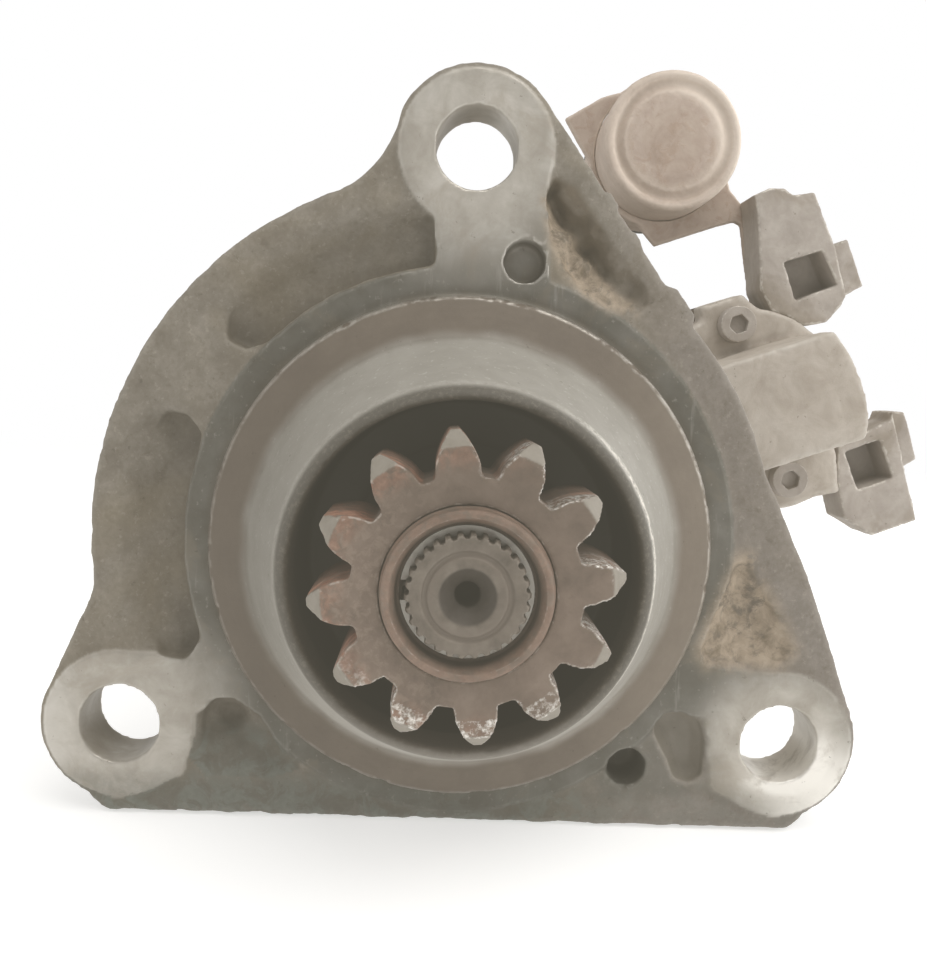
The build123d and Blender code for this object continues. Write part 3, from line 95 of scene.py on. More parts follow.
def value_noise(points, size, seed):
    """Noise from -1 to 1 with features of the given size in mm."""
    scaled = points / size
    cell = np.floor(scaled).astype(np.int64)
    t = scaled - cell
    t = t * t * t * (t * (t * 6 - 15) + 10)
    total = np.zeros(len(points))
    for corner in itertools.product((0, 1), repeat=3):
        weight = np.where(corner, t, 1 - t)
        total += weight[:, 0] * weight[:, 1] * weight[:, 2] * lattice(cell + corner, seed)
    return total * 2 - 1


def grain(points, size, octaves, seed):
    """Fractal noise from -1 to 1; each octave has half the size and half the strength."""
    total, strength, weight = np.zeros(len(points)), 1.0, 0.0
    for k in range(octaves):
        total += strength * value_noise(points, size / 2 ** k, seed + 17 * k)
        weight += strength
        strength *= 0.5
    return total / weight


def fade(start, end, value):
    """Smooth step: 0 at start, 1 at end. Start may be the larger."""
    t = np.clip((value - start) / (end - start), 0, 1)
    return t * t * (3 - 2 * t)


def bell(value, centre, width):
    return np.exp(-((value - centre) / width) ** 2)


def flat(x, z):
    """Points at y = 0, for noise that doesn't change along the shaft."""
    return np.stack([x, x * 0, z], 1)


def outline_distance(outline, x, z):
    """Signed distance to a closed outline, negative inside."""
    distance = np.full(len(x), 1e9)
    inside = np.zeros(len(x), bool)
    for (x1, z1), (x2, z2) in zip(outline, outline[1:] + outline[:1]):
        run, climb = x2 - x1, z2 - z1
        along = ((x - x1) * run + (z - z1) * climb) / (run * run + climb * climb)
        along = np.clip(along, 0, 1)
        gap = np.hypot(x - x1 - along * run, z - z1 - along * climb)
        distance = np.minimum(distance, gap)
        if climb:
            inside ^= ((z1 > z) != (z2 > z)) & (x < run * (z - z1) / climb + x1)
    return np.where(inside, -distance, distance)


# ---------------------------------------------------------------- meshes
def shade_smooth(mesh):
    mesh.polygons.foreach_set("use_smooth", np.ones(len(mesh.polygons), bool))


def to_metres(mesh):
    for vertex in mesh.vertices:
        vertex.co *= MM


def piece(name, mesh, body, material, node):
    """An object that rides a body and takes the place of a CAD node."""
    ob = bpy.data.objects.new(name, mesh)
    SCENE.collection.objects.link(ob)
    mesh.name = name
    mesh.materials.clear()
    mesh.materials.append(material)
    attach(ob, body)
    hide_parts(node)
    return ob


class Sculpt:
    """A mesh in millimetres whose vertices can be smoothed, pushed and measured.

    Points only change in place, so x, y, z = part.points.T stay live views.
    """

    def __init__(self, mesh):
        self.mesh = mesh
        self.count = len(mesh.vertices)
        flat_points = np.empty(self.count * 3, np.float32)
        mesh.vertices.foreach_get("co", flat_points)
        self.points = flat_points.reshape(-1, 3).astype(float)
        ends = np.empty(len(mesh.edges) * 2, np.int32)
        mesh.edges.foreach_get("vertices", ends)
        self.edges = ends.reshape(-1, 2)
        self.valence = np.maximum(1, np.bincount(ends, minlength=self.count)).astype(float)

    def average(self, values):
        """Mean over each vertex's neighbours."""
        if values.ndim > 1:
            return np.stack([self.average(column) for column in values.T], 1)
        a, b = self.edges[:, 0], self.edges[:, 1]
        total = np.bincount(a, values[b], self.count) + np.bincount(b, values[a], self.count)
        return total / self.valence

    def smooth(self, rounds, weight=1.0, strength=0.5):
        weight = np.asarray(weight, float)
        if weight.ndim:
            weight = weight[:, None]
        for _ in range(rounds):
            self.points += strength * weight * (self.average(self.points) - self.points)

    def relax(self, rounds):
        """Smoothing that alternates in and out so the part keeps its size."""
        for _ in range(rounds):
            self.smooth(1, strength=0.5)
            self.smooth(1, strength=-0.53)

    def store(self):
        self.mesh.vertices.foreach_set("co", self.points.astype(np.float32).ravel())
        self.mesh.update()

    def normals(self):
        self.store()
        normals = np.empty(self.count * 3, np.float32)
        self.mesh.vertices.foreach_get("normal", normals)
        return normals.reshape(-1, 3).astype(float)

    def push(self, amount):
        """Moves each vertex along its normal."""
        self.points += self.normals() * amount[:, None]

    def blur(self, values, rounds):
        for _ in range(rounds):
            values = values + 0.5 * (self.average(values) - values)
        return values

    def curvature(self):
        """Bend of the surface: positive on edges, negative in corners."""
        normals = self.normals()
        eased = self.blur(self.points, 1)
        return self.blur(np.einsum("ij,ij->i", eased - self.average(eased), normals), 1)

    def chip(self, depth, size, seed, threshold, percentile, where=1.0):
        """Knocks patches off the edges; a smaller threshold leaves more patches."""
        bend = self.curvature()
        bend = np.clip(bend / (np.percentile(np.abs(bend), percentile) + 1e-9), 0, 1)
        patches = np.clip(grain(self.points, size, 3, seed) - threshold, 0, 1)
        self.push(-bend * patches * where * depth)

    def attribute(self, name, values):
        layer = self.mesh.attributes.new(name, "FLOAT", "POINT")
        layer.data.foreach_set("value", np.asarray(values, np.float32))

    def write_edge_and_cavity(self):
        """Writes 'edge' and 'cavity', both 0 to 1, from the curvature; the materials use 'edge'
        for worn edges and 'cavity' for painted shade in hollows.
        """
        bend = self.curvature()
        scale = np.percentile(np.abs(bend), 97) + 1e-9
        self.attribute("edge", np.clip(bend / scale, 0, 1))
        broad = self.blur(bend, 6)
        scale = np.percentile(np.abs(broad), 96) + 1e-9
        self.attribute("cavity", np.clip(-broad / scale, 0, 1))

    def finish(self, name, body, material, node):
        self.points *= MM
        self.store()
        shade_smooth(self.mesh)
        piece(name, self.mesh, body, material, node)


def node_mesh(node):
    """Welded copy of a CAD node's mesh in millimetres."""
    bm = bmesh.new()
    bm.from_mesh(NODES[node].data)
    bmesh.ops.remove_doubles(bm, verts=bm.verts, dist=2e-6)
    bmesh.ops.scale(bm, vec=(1000, 1000, 1000), verts=bm.verts)
    mesh = bpy.data.meshes.new(node + "_mm")
    bm.to_mesh(mesh)
    bm.free()
    return mesh


def cut_mesh(node, y, front):
    """Capped part of a CAD node in front of (-Y) or behind the plane at y."""
    mesh = node_mesh(node)
    bm = bmesh.new()
    bm.from_mesh(mesh)
    cut = bmesh.ops.bisect_plane(bm, geom=bm.verts[:] + bm.edges[:] + bm.faces[:],
                                 plane_co=(0, y, 0), plane_no=(0, 1, 0),
                                 clear_outer=front, clear_inner=not front, dist=1e-5)
    rim = [item for item in cut["geom_cut"] if isinstance(item, bmesh.types.BMEdge)]
    bmesh.ops.holes_fill(bm, edges=rim)
    bmesh.ops.triangulate(bm, faces=bm.faces[:])
    bm.to_mesh(mesh)
    bm.free()
    return mesh


def relief_block(outline, height, grow, step, back=11.0):
    """Closed block over an outline; its front follows height(x, z, inward distance)."""
    corners = np.array(outline)
    low = corners.min(0) - grow - step
    high = corners.max(0) + grow + step
    x, z = np.meshgrid(np.arange(low[0], high[0] + step, step),
                       np.arange(low[1], high[1] + step, step), indexing="ij")
    rows, columns = x.shape
    x, z = x.ravel(), z.ravel()
    inward = -outline_distance(outline, x, z)
    keep = (inward > -grow).reshape(rows, columns)
    cell = keep[:-1, :-1] & keep[1:, :-1] & keep[:-1, 1:] & keep[1:, 1:]

    def vertex(corner, layer):
        return corner[0] * columns + corner[1] + layer * rows * columns

    # step to each neighbouring cell, and the two corners of the side they share
    sides = (((0, -1), 0, 1), ((1, 0), 1, 2), ((0, 1), 2, 3), ((-1, 0), 3, 0))
    faces = []
    for i, j in np.argwhere(cell).tolist():
        quad = [(i, j), (i + 1, j), (i + 1, j + 1), (i, j + 1)]
        faces.append([vertex(corner, 0) for corner in quad])
        faces.append([vertex(corner, 1) for corner in quad[::-1]])
        for (di, dj), first, second in sides:
            ni, nj = i + di, j + dj
            filled = 0 <= ni < rows - 1 and 0 <= nj < columns - 1 and cell[ni, nj]
            if not filled:
                a, b = quad[first], quad[second]
                faces.append([vertex(b, 0), vertex(a, 0), vertex(a, 1), vertex(b, 1)])
    front = np.stack([x, height(x, z, inward), z], 1)
    return np.concatenate([front, np.stack([x, np.full(len(x), back), z], 1)]), faces


def drum(centre, radius, y0, y1, sides=40):
    """Closed plug along Y."""
    angle = np.arange(sides) * 2 * math.pi / sides
    front = np.stack([centre[0] + radius * np.cos(angle), np.full(sides, y0),
                      centre[1] + radius * np.sin(angle)], 1)
    back = front.copy()
    back[:, 1] = y1
    faces = [list(range(sides)), list(range(2 * sides - 1, sides - 1, -1))]
    faces += [[(k + 1) % sides, k, sides + k, sides + (k + 1) % sides] for k in range(sides)]
    return np.concatenate([front, back]), faces


def joined(mesh, blocks):
    """Adds closed blocks to a mesh in millimetres."""
    bm = bmesh.new()
    bm.from_mesh(mesh)
    for points, faces in blocks:
        used = sorted({i for face in faces for i in face})
        made = {i: bm.verts.new(points[i]) for i in used}
        for face in faces:
            bm.faces.new([made[i] for i in face])
    bm.to_mesh(mesh)
    bm.free()
    return mesh


def remeshed(mesh, size):
    """An even skin of the given voxel size, ready to sculpt."""
    holder = bpy.data.objects.new("tmp", mesh)
    SCENE.collection.objects.link(holder)
    remesh = holder.modifiers.new("r", "REMESH")
    remesh.mode = "VOXEL"
    remesh.voxel_size = size
    bpy.context.view_layer.update()
    graph = bpy.context.evaluated_depsgraph_get()
    skin = bpy.data.meshes.new_from_object(holder.evaluated_get(graph))
    bpy.data.objects.remove(holder)
    return Sculpt(skin)


def round_edges(ob, width, merge_flats=True):
    """Bevels the hard edges of an object by a width in mm."""
    weld = ob.modifiers.new("weld", "WELD")
    weld.merge_threshold = 2e-6
    if merge_flats:
        planar = ob.modifiers.new("planar", "DECIMATE")
        planar.decimate_type = "DISSOLVE"
        planar.angle_limit = math.radians(0.6)
    bevel = ob.modifiers.new("bevel", "BEVEL")
    bevel.width = width / 1000
    bevel.segments = 2
    bevel.limit_method = "ANGLE"
    bevel.angle_limit = math.radians(28)
    bevel.harden_normals = True
    bevel.use_clamp_overlap = True
    shade_smooth(ob.data)


# ---------------------------------------------------------------- shader tools
def linear_colour(value):
    """Linear RGBA from an sRGB triple of 0 to 255; anything else passes through."""
    if not isinstance(value, tuple) or len(value) != 3:
        return value
    unit = [channel / 255 for channel in value]
    return (*(c / 12.92 if c <= 0.04045 else ((c + 0.055) / 1.055) ** 2.4 for c in unit), 1.0)


class Nodes:
    """Short ways to add nodes to an emptied node tree."""

    def __init__(self, tree):
        self.tree = tree
        tree.nodes.clear()

    def node(self, kind, inputs={}, **settings):
        """A new node; inputs maps its sockets to values or to outputs that feed them."""
        made = self.tree.nodes.new("ShaderNode" + kind)
        for key, value in settings.items():
            setattr(made, key, value)
        for socket, value in inputs.items():
            if isinstance(value, bpy.types.NodeSocket):
                self.tree.links.new(value, made.inputs[socket])
            else:
                made.inputs[socket].default_value = value
        return made

    def math(self, operation, a, b=0.0, clamp=False):
        return self.node("Math", {0: a, 1: b}, operation=operation, use_clamp=clamp).outputs[0]

    def times(self, a, b, clamp=False):
        return self.math("MULTIPLY", a, b, clamp)

    def plus(self, a, b, clamp=False):
        return self.math("ADD", a, b, clamp)

    def minus(self, a, b):
        return self.math("SUBTRACT", a, b)

    def linear(self, value, slope, offset):
        return self.plus(self.times(value, slope), offset)


class Shader(Nodes):
    """A material's nodes. Colours are sRGB triples of 0 to 255 or outputs."""

    def __init__(self, name):
        self.material = bpy.data.materials.new(name)
        self.material.use_nodes = True
        super().__init__(self.material.node_tree)
        self.place = self.node("TexCoord").outputs["Object"]

    def noise(self, size, detail, roughness, distortion, seed, stretch=(1, 1, 1)):
        """Noise with features of the given size in mm; the seed shifts it."""
        shift = (seed * 0.37, seed * 0.71, seed * 0.53)
        mapped = self.node("Mapping", {0: self.place, "Location": shift, "Scale": stretch})
        return self.node("TexNoise", {
            "Vector": mapped.outputs[0], "Scale": 1000.0 / size, "Detail": detail,
            "Roughness": roughness, "Distortion": distortion}).outputs[0]

    def noises(self, **rows):
        """Named noises: size in mm, detail, roughness, distortion, seed.

        Two more numbers make a mask that rises from 0 at the first to 1 at the second.
        """
        made = SimpleNamespace()
        for name, row in rows.items():
            value = self.noise(*row[:5])
            setattr(made, name, self.band(value, *row[5:]) if row[5:] else value)
        return made

    def ramp(self, value, *stops):
        """Colours between stops of (position, colour)."""
        made = self.node("ValToRGB", {0: value})
        elements = made.color_ramp.elements
        while len(elements) < len(stops):
            elements.new(0.5)
        for element, (position, colour) in zip(elements, stops):
            element.position = position
            element.color = linear_colour(colour)
        return made.outputs[0]

    def band(self, value, start, end):
        """Smooth mask: 0 at start, 1 at end."""
        return self.node("MapRange", {0: value, 1: start, 2: end},
                         interpolation_type="SMOOTHSTEP").outputs[0]

    def mix(self, mask, base, over):
        return self.node("Mix", {0: mask, 6: linear_colour(base), 7: linear_colour(over)},
                         data_type="RGBA").outputs[2]

    def layers(self, base, *rows):
        """Lays colours over a base; each row is a mask, its strength and the colour."""
        for mask, strength, over in rows:
            if strength != 1:
                mask = self.times(mask, strength)
            base = self.mix(mask, base, over)
        return base

    def attr(self, name):
        return self.node("Attribute", attribute_name=name).outputs["Fac"]

    def pointiness(self):
        return self.node("NewGeometry").outputs["Pointiness"]

    def axis(self, k):
        return self.node("SeparateXYZ", {0: self.place}).outputs[k]

    def normal(self, k):
        facing = self.node("NewGeometry").outputs["Normal"]
        return self.node("SeparateXYZ", {0: facing}).outputs[k]

    def finish(self, colour, roughness, metallic, specular, height, depth, bump):
        """Surface with a bump from height, depth in mm; returns the material."""
        relief = self.node("Bump", {"Strength": bump, "Distance": depth / 1000,
                                    "Height": height})
        surface = self.node("BsdfPrincipled", {
            "Base Color": colour, "Roughness": roughness, "Metallic": metallic,
            "Specular IOR Level": specular, "Normal": relief.outputs[0]})
        self.node("OutputMaterial", {0: surface.outputs[0]})
        return self.material


# ---------------------------------------------------------------- materials
def casting(name):
    """Weathered casting: brown-grey skin, worn machined faces, ochre dirt, pale oxide."""
    mat = Shader(name)
    times, mix, attr, band = mat.times, mat.mix, mat.attr, mat.band
    mach, dirt, far, pad, turned = (attr(key) for key in ("mach", "dirt", "far", "pad", "band"))
    noise = mat.noises(
        broad=(26, 3, 0.55, 0.6, 1, 0.42, 0.68), mid=(6, 5, 0.62, 0.3, 2),
        fine=(0.9, 4, 0.6, 0, 3), micro=(0.35, 2, 0.5, 0, 13),
        speck=(1.3, 3, 0.6, 0, 14, 0.60, 0.70), blotch=(2.8, 4, 0.7, 0.3, 36, 0.56, 0.72),
        grey=(9, 5, 0.6, 0.4, 4), grey_speck=(1.1, 3, 0.6, 0, 20, 0.60, 0.72),
        lugs=(7, 5, 0.62, 0.4, 15), stain=(11, 5, 0.65, 0.8, 6, 0.50, 0.66),
        oxide=(5, 5, 0.7, 0.8, 7, 0.42, 0.56), cone=(7, 4, 0.6, 0.5, 8),
        cone_speck=(1.0, 3, 0.6, 0, 35, 0.60, 0.72), far=(8, 5, 0.65, 0.5, 16),
        ochre=(3.2, 6, 0.66, 0.6, 9), loam=(2.0, 4, 0.6, 0.3, 17),
        dirt=(4.2, 5, 0.7, 0.4, 10, 0.34, 0.52), well=(4, 4, 0.6, 0.5, 38),
        worn=(3.0, 4, 0.7, 0, 11, 0.28, 0.55), pit=(1.7, 3, 0.7, 0, 12, 0.66, 0.74),
        soot=(1.1, 3, 0.6, 0, 18), lip=(0.7, 3, 0.7, 0, 19, 0.45, 0.75),
        glint=(1.1, 4, 0.75, 0, 37, 0.36, 0.58))
    mid, fine = noise.mid, noise.fine
    # places, in metres
    right = band(mat.axis(0), start=0.018, end=0.045)
    left = band(mat.axis(0), start=-0.014, end=-0.038)
    low = band(mat.axis(2), start=-0.012, end=-0.036)

    skin = mat.layers(
        mat.ramp(mid, (0.25, (101, 93, 82)), (0.5, (121, 114, 103)), (0.78, (141, 134, 123))),
        (noise.broad, 1, mix(mid, (109, 100, 85), (133, 124, 108))),
        # painted light: the skin is lighter and cooler to the right
        (right, 0.6, mix(mid, (108, 100, 94), (140, 132, 126))),
        (noise.speck, 0.32, (162, 155, 143)),
        (noise.blotch, 0.45, (88, 79, 64)),
        (band(fine, start=0.46, end=0.62), 0.22, (92, 84, 71)),
        (band(fine, start=0.42, end=0.32), 0.22, (150, 143, 130)))

    # machined metal: grey on the turned ring, paler round the mounting holes, partly as painted
    # reflection, with painted highlights on the lug pads
    grey = mat.layers(
        mat.ramp(noise.grey, (0.25, (82, 78, 69)), (0.5, (97, 94, 86)), (0.75, (113, 110, 103))),
        (noise.grey_speck, 0.45, (148, 144, 136)))
    lugs = mat.ramp(noise.lugs, (0.25, (150, 143, 132)), (0.5, (174, 168, 158)),
                    (0.75, (196, 191, 182)))
    scratches = mat.noise(size=2.2, detail=3, roughness=0.7, distortion=0, seed=5,
                          stretch=(1, 1, 0.12))
    metal = mat.layers(
        mix(pad, grey, lugs),
        # painted highlights on the lug pads
        (attr("bright"), 1, (238, 234, 226)),
        (band(scratches, start=0.60, end=0.76), 0.22, (186, 182, 175)),
        (noise.stain, 0.5, mix(pad, (116, 108, 95), (158, 149, 136))))

    # dark brown turned band, lighter to the right as painted light
    turned_band_colour = mix(mid, mix(right, (88, 77, 67), (102, 91, 79)),
                 mix(right, (110, 99, 87), (124, 113, 100)))
    # cone of the nose, with painted shade on its left and painted light low down
    cone = mat.layers(
        mix(noise.cone, (130, 126, 117), (160, 156, 148)),
        (noise.cone_speck, 0.4, (190, 186, 178)),
        (left, 0.42, (98, 94, 86)),
        (low, 0.65, mix(mid, (160, 155, 146), (186, 181, 172))))
    # painted haze: paler skin out by the solenoid
    hazed_skin = mat.ramp(noise.far, (0.25, (158, 147, 134)), (0.5, (178, 168, 156)),
                        (0.78, (196, 188, 177)))
    ochre = mat.ramp(noise.ochre, (0.3, (112, 99, 80)), (0.44, (146, 131, 112)),
                     (0.58, (168, 152, 132)), (0.8, (190, 175, 156)))
    # the lip, lighter low down as painted light
    lip = mat.layers(mix(noise.lip, (70, 65, 57), (98, 92, 82)), (low, 0.6, (128, 121, 112)))
    # worn edges, brighter where the painted highlight falls
    worn = times(times(band(attr("edge"), start=0.35, end=0.9), attr("wear_and_highlight")), noise.worn)
    painted_corner_shade = times(attr("cavity"), times(band(mid, start=0.25, end=0.6), 0.5))
    colour = mat.layers(
        mix(mach, skin, metal),
        # green-grey oxide low on the flange
        (attr("oxide"), 0.7, (82, 81, 73)),
        (times(attr("oxide"), noise.oxide), 0.75, mix(fine, (88, 91, 83), (124, 127, 119))),
        # turned band behind the nose, with painted light on its right and painted shade on its
        # left, then the lighter cone of the nose, with painted shade on its left and painted light
        # low down
        (turned, 1, turned_band_colour),
        (times(left, turned), 0.45, (84, 75, 65)),
        (attr("tint"), 1, cone),
        # painted haze out by the solenoid
        (far, 1, hazed_skin),
        # painted shade in corners, then brown and ochre dirt
        (painted_corner_shade, 1, mix(far, (84, 75, 62), (120, 106, 92))),
        # brown dirt, also carrying painted shade on the wall of the left mounting hole
        (attr("loam"), 0.85, mix(noise.loam, (72, 62, 49), (108, 95, 77))),
        (times(dirt, noise.dirt), 0.9, ochre),
        (attr("well"), 0.8, mix(noise.well, (120, 113, 101), (148, 142, 131))),
        # bare worn edges, brightened where the painted highlight falls, and pits
        (worn, 0.62, (200, 195, 186)),
        (noise.pit, 0.4, (70, 62, 50)),
        # the mouth of the nose: painted shade in the bore, the lip and the glint
        (attr("soot"), 1, mix(noise.soot, (24, 24, 20), (44, 43, 37))),
        (attr("lip"), 1, lip),
        (times(attr("glint"), noise.glint), 0.9, (226, 221, 210)))

    # machined and worn places are smoother and more metallic, dirt is neither
    roughness = mat.minus(mat.linear(mid, slope=0.25, offset=0.5), times(mach, 0.14))
    roughness = mat.minus(roughness, times(worn, 0.18))
    metallic = times(mat.plus(times(mach, 0.35), times(worn, 0.5)),
                     mat.minus(1.0, dirt), clamp=True)
    height = mat.plus(times(fine, 0.6), times(noise.micro, 0.4))
    height = times(height, mat.minus(1.0, times(mach, 0.7)))
    height = mat.minus(height, times(noise.pit, 0.5))
    return mat.finish(colour, roughness, metallic, specular=0.35,
                      height=height, depth=0.12, bump=0.55)


def gear_steel(name):
    """Brown worn gear steel, rust on some flanks, bare edges with painted sparkle, painted shade
    in hollows and on the teeth back in the nose.
    """
    mat = Shader(name)
    times, attr = mat.times, mat.attr
    noise = mat.noises(
        mid=(4.5, 5, 0.6, 0.3, 21), blotch=(1.2, 4, 0.7, 0, 22, 0.56, 0.72),
        dust=(1.5, 5, 0.7, 0.5, 30, 0.46, 0.62), rust=(1.6, 6, 0.7, 0.4, 23),
        rusted=(2.4, 5, 0.7, 0.5, 24, 0.38, 0.56), cone=(2.2, 4, 0.6, 0, 34),
        sparkle=(0.7, 4, 0.7, 0, 25), bare=(1.0, 4, 0.65, 0, 26, 0.42, 0.56),
        worn=(1.8, 4, 0.7, 0, 27, 0.44, 0.62),
        fine=(0.5, 3, 0.6, 0, 28), coarse=(1.6, 3, 0.6, 0, 29))
    rust = mat.ramp(noise.rust, (0.3, (104, 68, 52)), (0.5, (150, 108, 88)),
                    (0.7, (182, 146, 124)))
    sparkle = mat.ramp(noise.sparkle, (0.3, (122, 112, 102)), (0.44, (164, 156, 146)),
                       (0.56, (224, 220, 212)), (0.7, (250, 248, 244)))
    bare = times(attr("bare"), noise.bare)
    worn = times(mat.band(attr("edge"), start=0.6, end=1.0), noise.worn)
    upper = mat.band(mat.axis(2), start=0.004, end=0.016)
    colour = mat.layers(
        mat.ramp(noise.mid, (0.28, (98, 85, 74)), (0.5, (115, 100, 88)), (0.75, (130, 115, 103))),
        (noise.blotch, 0.35, (96, 82, 71)),
        (times(attr("dust"), noise.dust), 0.32, (154, 138, 124)),
        (upper, 0.42, (88, 76, 65)),
        (times(attr("rust"), noise.rusted), 1, rust),
        # painted shade in hollows
        (attr("cavity"), 0.45, (74, 62, 53)),
        (attr("cone"), 0.9, mat.mix(noise.cone, (122, 115, 104), (154, 148, 137))),
        # painted shade on parts deep inside: the back of the teeth and the bore of the stop ring
        (attr("deep"), 1, (58, 50, 43)),
        (worn, 0.5, (186, 178, 168)),
        # bare metal with painted sparkle where the light falls
        (bare, 1, sparkle))
    roughness = mat.minus(mat.linear(noise.mid, slope=0.2, offset=0.5), times(bare, 0.25))
    height = mat.plus(noise.fine, times(noise.coarse, 0.8))
    return mat.finish(colour, roughness, mat.linear(bare, slope=0.5, offset=0.12),
                      specular=0.35, height=height, depth=0.06, bump=0.5)


def shaft_steel(name):
    """Dusty turned steel, with painted shade in hollows and in the centre hole."""
    mat = Shader(name)
    noise = mat.noises(mid=(3, 5, 0.6, 0.2, 31), worn=(1.4, 4, 0.7, 0, 33, 0.3, 0.7),
                       fine=(0.5, 3, 0.6, 0, 32))
    worn = mat.times(mat.band(mat.attr("edge"), start=0.3, end=1.0), noise.worn)
    colour = mat.layers(
        mat.ramp(noise.mid, (0.25, (86, 78, 69)), (0.5, (108, 99, 89)), (0.8, (128, 119, 108))),
        (worn, 0.4, (150, 141, 130)),
        # painted shade in hollows
        (mat.attr("cavity"), 0.3, (78, 69, 60)),
        (mat.attr("groove"), 0.9, (112, 102, 92)),
        # painted shade in the centre hole
        (mat.attr("deep"), 1, (48, 42, 37)))
    return mat.finish(colour, mat.linear(noise.mid, slope=0.25, offset=0.42), metallic=0.2,
                      specular=0.35, height=noise.fine, depth=0.04, bump=0.5)


def plain_steel(name, dark, medium, light, size, metallic, roughness, rust, seed):
    """Bare metal with rust patches, pale edges and painted shade in the corners."""
    mat = Shader(name)
    noise = mat.noises(
        mid=(size, 5, 0.62, 0.3, 40 + seed),
        rusted=(size * 0.8, 6, 0.7, 0.8, 41 + seed, 0.60 - rust * 0.2, 0.72),
        rust=(1.5, 4, 0.7, 0, 42 + seed), fine=(0.7, 3, 0.6, 0, 43 + seed))
    rusted = mat.times(noise.rusted, 0.8)
    point = mat.pointiness()
    colour = mat.layers(
        mat.ramp(noise.mid, (0.25, dark), (0.5, medium), (0.8, light)),
        (rusted, 1, mat.mix(noise.rust, (96, 62, 42), (150, 112, 82))),
        (mat.band(point, start=0.52, end=0.58), 0.6, (200, 196, 188)),
        # painted shade in corners and creases
        (mat.band(point, start=0.48, end=0.42), 0.7, (52, 46, 38)))
    return mat.finish(colour, mat.linear(mat.plus(rusted, noise.mid), 0.2, roughness),
                      mat.minus(metallic, mat.times(rusted, metallic)), specular=0.4,
                      height=mat.plus(noise.fine, mat.times(rusted, 0.5)), depth=0.05, bump=0.5)


def old_paint(name):
    """Old dark paint over steel: chips to bare and rusty metal, dust on upward faces."""
    mat = Shader(name)
    times = mat.times
    noise = mat.noises(
        mid=(14, 5, 0.6, 0.4, 61), fine=(0.8, 4, 0.6, 0, 62),
        dust=(5, 6, 0.65, 0.5, 63, 0.25, 0.7), chips=(16, 6, 0.62, 0.3, 64),
        rust=(2, 5, 0.7, 0, 65, 0.4, 0.62), runs=(22, 5, 0.6, 0.8, 66, 0.52, 0.72))
    dark = linear_colour((52, 50, 46))
    lighter = tuple(channel * 1.6 for channel in dark[:3]) + (1,)
    upward = mat.band(mat.normal(2), start=-0.35, end=0.9)
    dust = times(mat.linear(upward, slope=0.6, offset=0.28), noise.dust)
    edges = mat.band(mat.pointiness(), start=0.51, end=0.60)
    chip = mat.band(mat.plus(noise.chips, times(edges, 0.25)), start=0.708, end=0.728)
    colour = mat.layers(
        mat.mix(noise.mid, dark, lighter),
        (dust, 1, (128, 119, 104)),
        (chip, 0.85, mat.mix(noise.rust, (104, 76, 58), (146, 138, 126))),
        (noise.runs, 0.4, (104, 84, 64)))
    return mat.finish(colour, mat.linear(dust, slope=0.35, offset=0.45), times(chip, 0.5),
                      specular=0.45, height=mat.minus(times(noise.fine, 0.35), times(chip, 1.0)),
                      depth=0.08, bump=0.7)


def plain_casting(name, dark, medium, light, seed):
    """Sand-cast skin for the other castings, with painted shade in hollows."""
    mat = Shader(name)
    noise = mat.noises(
        mid=(7, 5, 0.62, 0.4, 80 + seed), fine=(0.9, 4, 0.6, 0, 81 + seed),
        stain=(20, 4, 0.6, 0.8, 82 + seed, 0.5, 0.72), worn=(3, 4, 0.7, 0, 83 + seed, 0.4, 0.6),
        pit=(1.6, 3, 0.7, 0, 84 + seed, 0.66, 0.74))
    worn = mat.times(mat.band(mat.attr("edge"), start=0.4, end=0.9), noise.worn)
    colour = mat.layers(
        mat.ramp(noise.mid, (0.25, dark), (0.5, medium), (0.8, light)),
        (noise.stain, 0.45, (120, 106, 84)),
        # painted shade in hollows
        (mat.attr("cavity"), 0.25, (112, 103, 93)),
        (worn, 0.75, (208, 202, 192)),
        (noise.pit, 0.4, (74, 64, 50)))
    roughness = mat.minus(mat.linear(noise.mid, slope=0.2, offset=0.6), mat.times(worn, 0.2))
    return mat.finish(colour, roughness, mat.times(worn, 0.6), specular=0.35,
                      height=mat.minus(noise.fine, mat.times(noise.pit, 0.6)),
                      depth=0.12, bump=0.6)


